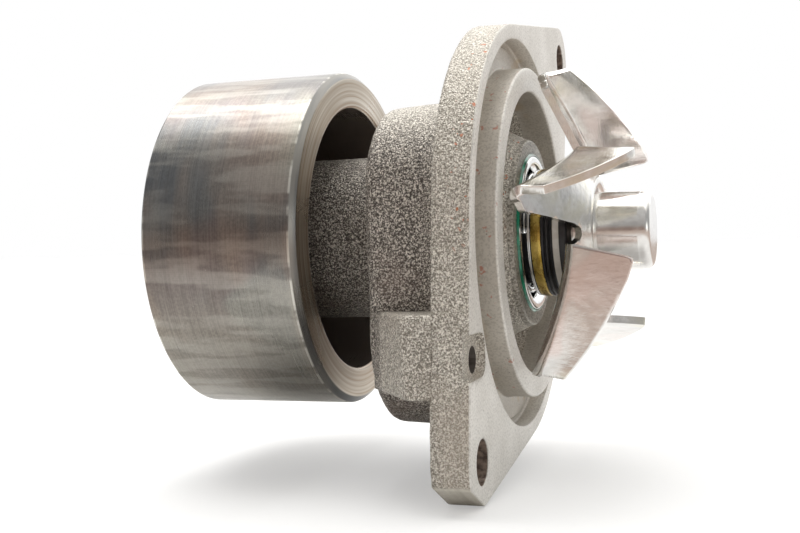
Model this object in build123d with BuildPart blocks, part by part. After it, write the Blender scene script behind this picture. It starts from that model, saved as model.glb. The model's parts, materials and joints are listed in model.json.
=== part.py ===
from build123d import *
import math
import os

# Engine water pump: cast flange housing, integral shaft bearing, unitised
# face seal, stamped impeller and a smooth belt pulley.
# Millimetres. +X runs along the shaft towards the impeller, +Z is up, and the
# origin is on the shaft axis in the flange's machined mounting face.

os.makedirs("parts", exist_ok=True)

# ---- shaft and bearing -------------------------------------------------------
SHAFT_RADIUS = 7.959
SHAFT_FRONT_X = 26.6
SHAFT_REAR_X = -70.6
SHAFT_CHAMFER = 0.9

BEARING_OUTER_RADIUS = 15.0
BEARING_RACE_RADIUS = 12.32
BEARING_FRONT_X = -16.5
BEARING_REAR_X = -58.5
PITCH_RADIUS = 10.14

BALL_COUNT = 8
BALL_RADIUS = 2.75
BALL_ROW_X = -48.5
BALL_CLEARANCE = 0.03
ROLLER_COUNT = 10
ROLLER_RADIUS = 2.16
ROLLER_LENGTH = 11.0
ROLLER_ROW_X = -28.5
CAGE_INNER_RADIUS = 9.0
CAGE_OUTER_RADIUS = 11.3
CAGE_POCKET_GAP = 0.1
BALL_CAGE_WIDTH = 7.6
ROLLER_CAGE_WIDTH = 14.0
BEARING_SEAL_WIDTH = 2.0
BEARING_SEAL_INSET = 0.8
SEAL_LIP_CLEARANCE = 0.04

# ---- housing -----------------------------------------------------------------
FLANGE_THICKNESS = 7.5
FLANGE_RADIUS = 43.2
EAR_RADIUS = 8.3
LOWER_EAR = (-39.5, -40.6)
UPPER_EAR = (45.0, 41.8)
LOWER_EAR_FLAT = 61.0
LOWER_EAR_FLAT_DIRECTION = 242.2
BOLT_HOLE_RADIUS = 4.2
CAST_EDGE_RADIUS = 0.9

PILOT_RADIUS = 34.1
PILOT_BORE_RADIUS = 29.2
PILOT_HEIGHT = 2.4
RING_GROOVE_RADIUS = 40.15
RING_GROOVE_DEPTH = 3.6

TROUGH_FLOOR_X = -7.0
TROUGH_INNER_RADIUS = 23.0
TROUGH_CORNER = 2.0
SEAL_BOSS_RADIUS = 19.5
SEAL_BOSS_FACE_X = 2.0

CHAMBER_WIDTH = 65.4
CHAMBER_HEIGHT = 63.2
CHAMBER_CORNER = 18.0
CHAMBER_CENTER_Z = -5.8
CHAMBER_REAR_X = -24.0
CHAMBER_DRAFT = 3.0
CHAMBER_EDGE_RADIUS = 2.6

NECK_RADIUS = 17.4
NECK_REAR_X = -59.5
NECK_FILLET = 2.5

PAD_TOP_Z = -14.0
PAD_BOTTOM_Z = -29.0
PAD_FLAT_X = -12.4
PAD_INNER_Y = -20.0

DRAIN_HOLE = (-39.2, -22.3)
DRAIN_RADIUS = 2.5
DRAIN_DEPTH = 14.5
DRAIN_POCKET_HEIGHT = 8.0
DRAIN_POCKET_Z = -21.45
DRAIN_POCKET_END_Y = -35.6
DRAIN_POCKET_DEPTH = 1.5
CROSS_DRAIN_X = -12.2
CROSS_DRAIN_RADIUS = 1.8
DRAIN_CHAMBER_RADIUS = 13.0
DRAIN_CHAMBER_REAR_X = -16.5
DRAIN_CHAMBER_FRONT_X = -8.2

SLINGER_RADIUS = 11.36
SLINGER_REAR_X = -14.4
SLINGER_FRONT_X = -10.6

# ---- face seal ---------------------------------------------------------------
SEAL_BORE_RADIUS = 14.0
CUP_WALL = 0.7
CUP_REAR_X = -7.6
CUP_FLANGE_RADIUS = 16.0
CUP_FLANGE_FRONT_X = 2.7
SEAL_SEAT_RADIUS = 16.6
SPRING_RADIUS = 11.9
SPRING_WIRE = 1.3
SPRING_TURNS = 3.5
WASHER_THICKNESS = 0.6
BELLOWS_INNER_RADIUS = 9.2
BELLOWS_WALL = 1.2
BELLOWS_FLANGE = 1.6
LIP_RADIUS = 12.95
LIP_THICKNESS = 1.1
BAND_RADIUS = 13.2
BAND_REAR_X = 4.0
BAND_FRONT_X = 5.95
WASHER_RADIUS = 13.1
CARBON_REAR_X = 4.9
CARBON_STEP_X = 7.5
CARBON_RADIUS = 12.3
SEAT_WALL = 0.6
SEAL_FACE_X = 8.2
FACE_GAP = 0.02
CERAMIC_FRONT_X = 9.8
CERAMIC_RADIUS = 12.7
BOOT_FRONT_X = 11.2

# ---- pulley ------------------------------------------------------------------
PULLEY_RADIUS = 36.0
PULLEY_FRONT_X = -36.9
PULLEY_REAR_X = -70.4
PULLEY_BORE_RADIUS = 28.4
PULLEY_EDGE_CHAMFER = 1.2
PULLEY_WEB_FRONT_X = -62.5
PULLEY_WEB_REAR_X = -67.6
PULLEY_HUB_RADIUS = 13.5
PULLEY_REAR_RIM_RADIUS = 30.5

# ---- impeller ----------------------------------------------------------------
VANE_COUNT = 5
FIRST_VANE_ANGLE = 37.2
SHEET = 1.6
DISH_SLOPE = 0.47
DISH_TIP_RADIUS = 32.4
DISH_TIP_BACK_X = 4.0
CROWN_X = 16.0
COLLAR_REAR_X = 11.4
HUB_OUTLINE_RADIUS = 13.6
FOLD_DISTANCE = 18.7
FOLD_START = 2.0
FOLD_END = 27.3
BEND_RADIUS = 1.5
CROWN_OUTER_RADIUS = 11.5
COLLAR_MOUTH = 0.6
NOTCH_DISTANCE = 14.8
NOTCH_RADIUS = 1.5


def revolve_part(points):
    """Ring about the shaft axis whose half section is given as (x, radius) points."""
    with BuildPart() as ring:
        with BuildSketch(Plane.XY):
            with BuildLine():
                Polyline(*points, close=True)
            make_face()
        revolve(axis=Axis.X)
    return ring


def save(builder, label):
    """Label a finished piece and write its STEP file."""
    builder.part.label = label
    export_step(builder.part, f"parts/{label}.step")


# ---- pump housing ------------------------------------------------------------
# Flange outline: a round plate with an ear at each bolt hole, joined by tangents.
# The lower ear's tip is machined flat. Each ear is (distance from the axis, direction, half angle of its tangents).
ears = []
for ear in (UPPER_EAR, LOWER_EAR):
    ear_distance = math.hypot(*ear)
    ear_angle = math.degrees(math.atan2(ear[1], ear[0])) % 360
    tangent_angle = math.degrees(math.acos((FLANGE_RADIUS - EAR_RADIUS) / ear_distance))
    ears.append((ear, ear_angle, tangent_angle))

with BuildSketch(Plane.YZ) as flange_outline:
    with BuildLine():
        rim_arcs = []
        ear_arcs = []
        for index, (ear, ear_angle, tangent_angle) in enumerate(ears):
            other_angle, other_tangent = ears[1 - index][1:]
            rim_start = ear_angle + tangent_angle
            rim_size = (other_angle - other_tangent - rim_start) % 360
            ear_arcs.append(CenterArc(ear, EAR_RADIUS, ear_angle - tangent_angle, 2 * tangent_angle))
            rim_arcs.append(CenterArc((0, 0), FLANGE_RADIUS, rim_start, rim_size))
        for index in range(2):
            Line(ear_arcs[index] @ 1, rim_arcs[index] @ 0)
            Line(rim_arcs[index] @ 1, ear_arcs[1 - index] @ 0)
    make_face()
    with PolarLocations(LOWER_EAR_FLAT, 1, start_angle=LOWER_EAR_FLAT_DIRECTION):
        Rectangle(
            EAR_RADIUS,
            4 * EAR_RADIUS,
            align=(Align.MIN, Align.CENTER),
            mode=Mode.SUBTRACT,
        )

# Drain pad: it stands behind the flange, flush with the flange's side, and
# slopes into the rear edge of the chamber.
with BuildPart() as drain_pad:
    extrude(flange_outline.sketch, amount=-CHAMBER_REAR_X, dir=(-1, 0, 0))
    with BuildSketch(Plane.XY.offset(PAD_BOTTOM_Z)):
        with BuildLine():
            Polyline(
                (0, PAD_INNER_Y),
                (0, -1.2 * FLANGE_RADIUS),
                (PAD_FLAT_X, -1.2 * FLANGE_RADIUS),
                (PAD_FLAT_X, -1.06 * FLANGE_RADIUS),
                (CHAMBER_REAR_X + 0.8, -CHAMBER_WIDTH / 2 + 1.4),
                (CHAMBER_REAR_X + 0.8, PAD_INNER_Y),
                close=True,
            )
        make_face()
    extrude(amount=PAD_TOP_Z - PAD_BOTTOM_Z, mode=Mode.INTERSECT)

with BuildPart() as pump_housing:
    # chamber behind the flange, with casting draft and a rounded rear edge
    with BuildSketch(Plane.YZ.offset(CHAMBER_REAR_X)):
        with Locations((0, CHAMBER_CENTER_Z)):
            RectangleRounded(CHAMBER_WIDTH, CHAMBER_HEIGHT, CHAMBER_CORNER)
    extrude(amount=-CHAMBER_REAR_X - FLANGE_THICKNESS + 1, taper=-CHAMBER_DRAFT)
    fillet(faces().sort_by(Axis.X)[0].edges(), CHAMBER_EDGE_RADIUS)
    # bearing neck
    with BuildSketch(Plane.YZ.offset(NECK_REAR_X)):
        Circle(NECK_RADIUS)
    extrude(amount=CHAMBER_REAR_X - NECK_REAR_X + 1)
    chamfer(faces().sort_by(Axis.X)[0].edges(), 0.8)
    neck_root = edges().filter_by(GeomType.CIRCLE).filter_by(
        lambda edge: abs(edge.center().X - CHAMBER_REAR_X) < 0.1
    )
    fillet(neck_root, NECK_FILLET)
    add(drain_pad.part)
    # flange plate, rounded along its rear edge as cast
    with BuildPart(mode=Mode.PRIVATE) as flange_plate:
        extrude(flange_outline.sketch, amount=FLANGE_THICKNESS, dir=(-1, 0, 0))
        fillet(faces().sort_by(Axis.X)[0].edges(), CAST_EDGE_RADIUS)
    add(flange_plate.part)
    # pilot ring and seal boss stand on the front; the ring groove and the
    # trough are cut round them
    with BuildSketch(Plane.YZ.offset(-RING_GROOVE_DEPTH)):
        Circle(RING_GROOVE_RADIUS)
    extrude(amount=RING_GROOVE_DEPTH, mode=Mode.SUBTRACT)
    with BuildSketch(Plane.YZ.offset(-RING_GROOVE_DEPTH)):
        Circle(PILOT_RADIUS)
    extrude(amount=RING_GROOVE_DEPTH + PILOT_HEIGHT)
    chamfer(faces().sort_by(Axis.X)[-1].edges(), 0.3)
    with BuildSketch(Plane.XY):
        with BuildLine():
            Polyline(
                (PILOT_HEIGHT + 1, PILOT_BORE_RADIUS),
                (TROUGH_FLOOR_X + TROUGH_CORNER, PILOT_BORE_RADIUS),
                (TROUGH_FLOOR_X, PILOT_BORE_RADIUS - TROUGH_CORNER),
                (TROUGH_FLOOR_X, TROUGH_INNER_RADIUS + TROUGH_CORNER / 2),
                (TROUGH_FLOOR_X + TROUGH_CORNER, TROUGH_INNER_RADIUS),
                (SEAL_BOSS_FACE_X - 1.0, SEAL_BOSS_RADIUS),
                (SEAL_BOSS_FACE_X, SEAL_BOSS_RADIUS - 0.6),
                (SEAL_BOSS_FACE_X, 0),
                (PILOT_HEIGHT + 1, 0),
                close=True,
            )
        make_face()
    revolve(axis=Axis.X, mode=Mode.SUBTRACT)
    # stepped bore: bearing, drain chamber, seal body and the seal flange's seat
    with BuildSketch(Plane.XY):
        with BuildLine():
            Polyline(
                (NECK_REAR_X - 1, 0),
                (NECK_REAR_X - 1, BEARING_OUTER_RADIUS),
                (DRAIN_CHAMBER_REAR_X, BEARING_OUTER_RADIUS),
                (DRAIN_CHAMBER_REAR_X, DRAIN_CHAMBER_RADIUS),
                (DRAIN_CHAMBER_FRONT_X, DRAIN_CHAMBER_RADIUS),
                (DRAIN_CHAMBER_FRONT_X, SEAL_BORE_RADIUS),
                (CUP_FLANGE_FRONT_X - CUP_WALL, SEAL_BORE_RADIUS),
                (CUP_FLANGE_FRONT_X - CUP_WALL, 0),
                close=True,
            )
        make_face()
    revolve(axis=Axis.X, mode=Mode.SUBTRACT)
    # bolt holes
    with BuildSketch(Plane.YZ):
        with Locations(LOWER_EAR, UPPER_EAR):
            Circle(BOLT_HOLE_RADIUS)
    extrude(amount=-FLANGE_THICKNESS - 1, mode=Mode.SUBTRACT)
    # drain: a pocket open at the flange's side, an axial hole and a cross hole
    with BuildSketch(Plane.YZ.offset(-DRAIN_POCKET_DEPTH)):
        with Locations((DRAIN_POCKET_END_Y - FLANGE_RADIUS / 2, DRAIN_POCKET_Z)):
            RectangleRounded(FLANGE_RADIUS, DRAIN_POCKET_HEIGHT, 0.45 * DRAIN_POCKET_HEIGHT)
    extrude(amount=DRAIN_POCKET_DEPTH + 1, mode=Mode.SUBTRACT)
    with BuildSketch(Plane.YZ):
        with Locations(DRAIN_HOLE):
            Circle(DRAIN_RADIUS)
    extrude(amount=-DRAIN_DEPTH, mode=Mode.SUBTRACT)
    drain_reach = math.hypot(*DRAIN_HOLE)
    drain_plane = Plane(
        origin=(CROSS_DRAIN_X, 0, 0),
        x_dir=(1, 0, 0),
        z_dir=(0, DRAIN_HOLE[0], DRAIN_HOLE[1]),
    )
    with BuildSketch(drain_plane):
        Circle(CROSS_DRAIN_RADIUS)
    extrude(amount=drain_reach, mode=Mode.SUBTRACT)
save(pump_housing, "pump_housing")

# ---- integral shaft bearing --------------------------------------------------
with BuildPart() as ball_track:
    with BuildSketch(Plane.XY):
        with Locations((BALL_ROW_X, PITCH_RADIUS)):
            Circle(BALL_RADIUS + BALL_CLEARANCE)
    revolve(axis=Axis.X)

with BuildPart() as bearing_outer_ring:
    with BuildSketch(Plane.YZ.offset(BEARING_REAR_X)):
        Circle(BEARING_OUTER_RADIUS)
        Circle(BEARING_RACE_RADIUS, mode=Mode.SUBTRACT)
    extrude(amount=BEARING_FRONT_X - BEARING_REAR_X)
    chamfer(edges().filter_by(GeomType.CIRCLE).group_by(SortBy.RADIUS)[-1], 0.5)
    add(ball_track.part, mode=Mode.SUBTRACT)
save(bearing_outer_ring, "bearing_outer_ring")

bearing_seal_starts = {
    "bearing_seal_rear": BEARING_REAR_X + BEARING_SEAL_INSET,
    "bearing_seal_front": BEARING_FRONT_X - BEARING_SEAL_INSET - BEARING_SEAL_WIDTH,
}
for seal_label, start_x in bearing_seal_starts.items():
    lip_radius = SHAFT_RADIUS + SEAL_LIP_CLEARANCE
    middle_x = start_x + BEARING_SEAL_WIDTH / 2
    bearing_seal = revolve_part(
        [
            (start_x, BEARING_RACE_RADIUS),
            (start_x + BEARING_SEAL_WIDTH, BEARING_RACE_RADIUS),
            (start_x + BEARING_SEAL_WIDTH, BEARING_RACE_RADIUS - 1.0),
            (middle_x + 0.4, BEARING_RACE_RADIUS - 1.2),
            (middle_x + 0.4, lip_radius + 0.9),
            (middle_x + 0.8, lip_radius),
            (middle_x - 0.8, lip_radius),
            (middle_x - 0.4, lip_radius + 0.9),
            (middle_x - 0.4, BEARING_RACE_RADIUS - 1.2),
            (start_x, BEARING_RACE_RADIUS - 1.0),
        ],
    )
    save(bearing_seal, seal_label)

for ball in range(BALL_COUNT):
    ball_angle = math.radians(360 / BALL_COUNT * ball)
    ball_center = (
        BALL_ROW_X,
        PITCH_RADIUS * math.cos(ball_angle),
        PITCH_RADIUS * math.sin(ball_angle),
    )
    with BuildPart() as bearing_ball:
        with Locations(ball_center):
            Sphere(BALL_RADIUS)
    save(bearing_ball, f"ball_{ball + 1}")

with BuildPart() as ball_cage:
    with BuildSketch(Plane.YZ.offset(BALL_ROW_X - BALL_CAGE_WIDTH / 2)):
        Circle(CAGE_OUTER_RADIUS)
        Circle(CAGE_INNER_RADIUS, mode=Mode.SUBTRACT)
    extrude(amount=BALL_CAGE_WIDTH)
    for pocket in range(BALL_COUNT):
        pocket_angle = math.radians(360 / BALL_COUNT * pocket)
        pocket_plane = Plane(
            origin=(BALL_ROW_X, 0, 0),
            x_dir=(1, 0, 0),
            z_dir=(0, math.cos(pocket_angle), math.sin(pocket_angle)),
        )
        with BuildSketch(pocket_plane):
            Circle(BALL_RADIUS + CAGE_POCKET_GAP)
        extrude(amount=CAGE_OUTER_RADIUS + 1, mode=Mode.SUBTRACT)
save(ball_cage, "ball_cage")

for roller in range(ROLLER_COUNT):
    roller_angle = math.radians(360 / ROLLER_COUNT * roller)
    roller_center = (PITCH_RADIUS * math.cos(roller_angle), PITCH_RADIUS * math.sin(roller_angle))
    with BuildPart() as bearing_roller:
        with BuildSketch(Plane.YZ.offset(ROLLER_ROW_X - ROLLER_LENGTH / 2)):
            with Locations(roller_center):
                Circle(ROLLER_RADIUS)
        extrude(amount=ROLLER_LENGTH)
        chamfer(edges().filter_by(GeomType.CIRCLE), 0.25)
    save(bearing_roller, f"roller_{roller + 1}")

with BuildPart() as roller_cage:
    with BuildSketch(Plane.YZ.offset(ROLLER_ROW_X - ROLLER_CAGE_WIDTH / 2)):
        Circle(CAGE_OUTER_RADIUS)
        Circle(CAGE_INNER_RADIUS, mode=Mode.SUBTRACT)
    extrude(amount=ROLLER_CAGE_WIDTH)
    with BuildSketch(Plane.YZ.offset(ROLLER_ROW_X - ROLLER_LENGTH / 2 - CAGE_POCKET_GAP)):
        with PolarLocations(PITCH_RADIUS, ROLLER_COUNT):
            Circle(ROLLER_RADIUS + CAGE_POCKET_GAP)
    extrude(amount=ROLLER_LENGTH + 2 * CAGE_POCKET_GAP, mode=Mode.SUBTRACT)
save(roller_cage, "roller_cage")

with BuildPart() as shaft:
    with BuildSketch(Plane.YZ.offset(SHAFT_REAR_X)):
        Circle(SHAFT_RADIUS)
    extrude(amount=SHAFT_FRONT_X - SHAFT_REAR_X)
    fillet(faces().sort_by(Axis.X)[-1].edges(), SHAFT_CHAMFER)
    chamfer(faces().sort_by(Axis.X)[0].edges(), SHAFT_CHAMFER / 2)
    add(ball_track.part, mode=Mode.SUBTRACT)
save(shaft, "shaft")

# ---- slinger on the shaft between the seal and the bearing -------------------
slinger = revolve_part(
    [
        (SLINGER_REAR_X, SHAFT_RADIUS),
        (SLINGER_REAR_X, SHAFT_RADIUS + 1.2),
        (SLINGER_REAR_X + 1.0, SHAFT_RADIUS + 1.2),
        (SLINGER_REAR_X + 1.8, SLINGER_RADIUS),
        (SLINGER_REAR_X + 2.6, SLINGER_RADIUS),
        (SLINGER_REAR_X + 2.2, SHAFT_RADIUS + 1.0),
        (SLINGER_FRONT_X, SHAFT_RADIUS + 1.0),
        (SLINGER_FRONT_X, SHAFT_RADIUS),
    ],
)
save(slinger, "slinger")

# ---- face seal: stationary half ----------------------------------------------
seal_cup = revolve_part(
    [
        (CUP_REAR_X, BELLOWS_INNER_RADIUS - 0.4),
        (CUP_REAR_X, SEAL_BORE_RADIUS),
        (CUP_FLANGE_FRONT_X - CUP_WALL, SEAL_BORE_RADIUS),
        (CUP_FLANGE_FRONT_X - CUP_WALL, CUP_FLANGE_RADIUS),
        (CUP_FLANGE_FRONT_X - 0.1, CUP_FLANGE_RADIUS),
        (CUP_FLANGE_FRONT_X, CUP_FLANGE_RADIUS - 0.2),
        (CUP_FLANGE_FRONT_X, SEAL_BORE_RADIUS - 0.3),
        (CUP_FLANGE_FRONT_X - 0.5, SEAL_BORE_RADIUS - CUP_WALL),
        (CUP_REAR_X + CUP_WALL, SEAL_BORE_RADIUS - CUP_WALL),
        (CUP_REAR_X + CUP_WALL, BELLOWS_INNER_RADIUS - 0.4),
    ],
)
save(seal_cup, "seal_cup")

# sealant squeezed out round the edge of the cup's flange
with BuildPart() as sealant_bead:
    with BuildSketch(Plane.XY):
        with BuildLine():
            bead_foot = Line(
                (CUP_FLANGE_FRONT_X - CUP_WALL, CUP_FLANGE_RADIUS),
                (CUP_FLANGE_FRONT_X - CUP_WALL, SEAL_SEAT_RADIUS),
            )
            bead_back = Line(bead_foot @ 0, (CUP_FLANGE_FRONT_X - 0.15, CUP_FLANGE_RADIUS))
            ThreePointArc(
                bead_back @ 1,
                (CUP_FLANGE_FRONT_X - 0.2, CUP_FLANGE_RADIUS + 0.35),
                bead_foot @ 1,
            )
        make_face()
    revolve(axis=Axis.X)
save(sealant_bead, "sealant_bead")

# rubber bellows: a clamped rear flange, a thin wall with one fold and a ribbed
# lip that grips the carbon ring
BELLOWS_REAR_X = CUP_REAR_X + CUP_WALL
BELLOWS_RADIUS = BELLOWS_INNER_RADIUS + BELLOWS_WALL
BELLOWS_FOLD_X = -0.6
LIP_REAR_X = CARBON_REAR_X - LIP_THICKNESS
with BuildPart() as seal_bellows:
    with BuildSketch(Plane.XY):
        with BuildLine():
            Polyline(
                (BELLOWS_REAR_X, BELLOWS_INNER_RADIUS),
                (BELLOWS_REAR_X, SEAL_BORE_RADIUS - CUP_WALL),
                (BELLOWS_REAR_X + BELLOWS_FLANGE, SEAL_BORE_RADIUS - CUP_WALL),
                (BELLOWS_REAR_X + BELLOWS_FLANGE, BELLOWS_RADIUS),
                (BELLOWS_FOLD_X - 1.0, BELLOWS_RADIUS),
                (BELLOWS_FOLD_X, BELLOWS_RADIUS + 0.7),
                (BELLOWS_FOLD_X + 1.0, BELLOWS_RADIUS),
                (LIP_REAR_X, BELLOWS_RADIUS),
                (LIP_REAR_X, LIP_RADIUS),
                (BAND_FRONT_X + 0.05, LIP_RADIUS),
                (BAND_FRONT_X + 0.15, LIP_RADIUS + 0.3),
                (BAND_FRONT_X + 0.55, LIP_RADIUS + 0.3),
                (BAND_FRONT_X + 0.75, LIP_RADIUS - 0.1),
                (BAND_FRONT_X + 0.95, LIP_RADIUS + 0.25),
                (CARBON_STEP_X - 0.2, LIP_RADIUS + 0.25),
                (CARBON_STEP_X, LIP_RADIUS - 0.25),
                (CARBON_STEP_X, CARBON_RADIUS),
                (CARBON_REAR_X, CARBON_RADIUS),
                (CARBON_REAR_X, BELLOWS_INNER_RADIUS),
                close=True,
            )
        make_face()
    revolve(axis=Axis.X)
save(seal_bellows, "seal_bellows")

drive_band = revolve_part(
    [
        (BAND_REAR_X, LIP_RADIUS),
        (BAND_FRONT_X, LIP_RADIUS),
        (BAND_FRONT_X, BAND_RADIUS - 0.1),
        (BAND_FRONT_X - 0.35, BAND_RADIUS),
        (BAND_REAR_X + 0.4, BAND_RADIUS),
        (BAND_REAR_X, BAND_RADIUS - 0.1),
    ],
)
save(drive_band, "drive_band")

carbon_ring = revolve_part(
    [
        (CARBON_REAR_X, SHAFT_RADIUS + 1.0),
        (CARBON_REAR_X, CARBON_RADIUS),
        (CARBON_STEP_X, CARBON_RADIUS),
        (CARBON_STEP_X + 0.1, CARBON_RADIUS - 0.4),
        (SEAL_FACE_X - FACE_GAP, CARBON_RADIUS - 0.6),
        (SEAL_FACE_X - FACE_GAP, SHAFT_RADIUS + 1.6),
        (CARBON_STEP_X, SHAFT_RADIUS + 1.0),
    ],
)
save(carbon_ring, "carbon_ring")

washer_starts = {
    "spring_washer_rear": BELLOWS_REAR_X + BELLOWS_FLANGE,
    "spring_washer_front": LIP_REAR_X - WASHER_THICKNESS,
}
for washer_label, washer_x in washer_starts.items():
    with BuildPart() as spring_washer:
        with BuildSketch(Plane.YZ.offset(washer_x)):
            Circle(WASHER_RADIUS)
            Circle(BELLOWS_RADIUS + 0.05, mode=Mode.SUBTRACT)
        extrude(amount=WASHER_THICKNESS)
    save(spring_washer, washer_label)

# coil spring between the two washers
SPRING_END_GAP = 0.02
SPRING_START_X = BELLOWS_REAR_X + BELLOWS_FLANGE + WASHER_THICKNESS + SPRING_WIRE / 2 + SPRING_END_GAP
SPRING_END_X = LIP_REAR_X - WASHER_THICKNESS - SPRING_WIRE / 2 - SPRING_END_GAP
SPRING_LENGTH = SPRING_END_X - SPRING_START_X
with BuildPart() as seal_spring:
    with BuildLine():
        coil = Helix(
            pitch=SPRING_LENGTH / SPRING_TURNS,
            height=SPRING_LENGTH,
            radius=SPRING_RADIUS,
            center=(SPRING_START_X, 0, 0),
            direction=(1, 0, 0),
        )
    with BuildSketch(Plane(origin=coil @ 0, z_dir=coil % 0)):
        Circle(SPRING_WIRE / 2)
    sweep()
save(seal_spring, "seal_spring")

# ---- face seal: rotating half ------------------------------------------------
ceramic_seat = revolve_part(
    [
        (SEAL_FACE_X, SHAFT_RADIUS + SEAT_WALL),
        (SEAL_FACE_X, CERAMIC_RADIUS - 0.2),
        (SEAL_FACE_X + 0.2, CERAMIC_RADIUS),
        (CERAMIC_FRONT_X, CERAMIC_RADIUS),
        (CERAMIC_FRONT_X, SHAFT_RADIUS + SEAT_WALL),
    ],
)
save(ceramic_seat, "ceramic_seat")

seat_boot = revolve_part(
    [
        (SEAL_FACE_X + 0.4, SHAFT_RADIUS),
        (SEAL_FACE_X + 0.4, SHAFT_RADIUS + SEAT_WALL),
        (CERAMIC_FRONT_X, SHAFT_RADIUS + SEAT_WALL),
        (CERAMIC_FRONT_X, CERAMIC_RADIUS),
        (CERAMIC_FRONT_X - 0.2, CERAMIC_RADIUS),
        (CERAMIC_FRONT_X - 0.2, CERAMIC_RADIUS + 0.5),
        (BOOT_FRONT_X - 0.3, CERAMIC_RADIUS + 0.5),
        (BOOT_FRONT_X, CERAMIC_RADIUS),
        (BOOT_FRONT_X, SHAFT_RADIUS),
    ],
)
save(seat_boot, "seat_boot")

# ---- belt pulley -------------------------------------------------------------
with BuildPart() as belt_pulley:
    with BuildSketch(Plane.XY):
        with BuildLine():
            Polyline(
                (PULLEY_REAR_X, SHAFT_RADIUS),
                (PULLEY_REAR_X, PULLEY_HUB_RADIUS),
                (PULLEY_WEB_REAR_X, PULLEY_HUB_RADIUS + 1.6),
                (PULLEY_WEB_REAR_X, PULLEY_REAR_RIM_RADIUS - 1.0),
                (PULLEY_REAR_X, PULLEY_REAR_RIM_RADIUS),
                (PULLEY_REAR_X, PULLEY_RADIUS - PULLEY_EDGE_CHAMFER),
                (PULLEY_REAR_X + PULLEY_EDGE_CHAMFER, PULLEY_RADIUS),
                (PULLEY_FRONT_X - PULLEY_EDGE_CHAMFER, PULLEY_RADIUS),
                (PULLEY_FRONT_X, PULLEY_RADIUS - 0.8 * PULLEY_EDGE_CHAMFER),
                (PULLEY_FRONT_X, PULLEY_BORE_RADIUS + 0.4),
                (PULLEY_FRONT_X - 0.4, PULLEY_BORE_RADIUS),
                (PULLEY_WEB_FRONT_X - 0.6, PULLEY_BORE_RADIUS),
                (PULLEY_WEB_FRONT_X - 2.0, PULLEY_BORE_RADIUS - 1.4),
                (PULLEY_WEB_FRONT_X - 2.0, PULLEY_HUB_RADIUS),
                (PULLEY_WEB_FRONT_X + 1.2, PULLEY_HUB_RADIUS),
                (PULLEY_WEB_FRONT_X + 1.2, SHAFT_RADIUS),
                close=True,
            )
        make_face()
    revolve(axis=Axis.X)
save(belt_pulley, "belt_pulley")

# ---- stamped impeller --------------------------------------------------------
DISH_THICKNESS_X = SHEET * math.hypot(1, DISH_SLOPE)


def dish_back_x(radius):
    """Rear surface of the coned sheet at a radius."""
    return DISH_TIP_BACK_X + DISH_SLOPE * (DISH_TIP_RADIUS - radius)


COLLAR_RADIUS = SHAFT_RADIUS + SHEET
DISH_REACH = DISH_TIP_RADIUS + 2.0


def is_fold_edge(edge):
    """True for the rear edge of a blade, along the straight fold of its arm."""
    middle = edge.center()
    for vane in range(VANE_COUNT):
        angle = math.radians(FIRST_VANE_ANGLE + 360 / VANE_COUNT * vane)
        outward = middle.Y * math.cos(angle) + middle.Z * math.sin(angle)
        along = middle.Z * math.cos(angle) - middle.Y * math.sin(angle)
        on_fold = abs(outward - FOLD_DISTANCE) < 0.05 and along > FOLD_START
        if on_fold and edge.geom_type == GeomType.HYPERBOLA and middle.X < 11:
            return True
    return False


with BuildPart() as under_dish:
    with BuildSketch(Plane.XY):
        with BuildLine():
            Polyline(
                (0, 0),
                (0, DISH_REACH),
                (dish_back_x(DISH_REACH), DISH_REACH),
                (dish_back_x(CROWN_OUTER_RADIUS + 0.4), CROWN_OUTER_RADIUS + 0.4),
                (CROWN_X - SHEET, CROWN_OUTER_RADIUS - SHEET),
                (CROWN_X - SHEET, COLLAR_RADIUS + 0.2),
                (CROWN_X - SHEET - 0.3, COLLAR_RADIUS),
                (COLLAR_REAR_X, COLLAR_RADIUS),
                (COLLAR_REAR_X, 0),
                close=True,
            )
        make_face()
    revolve(axis=Axis.X)

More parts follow.
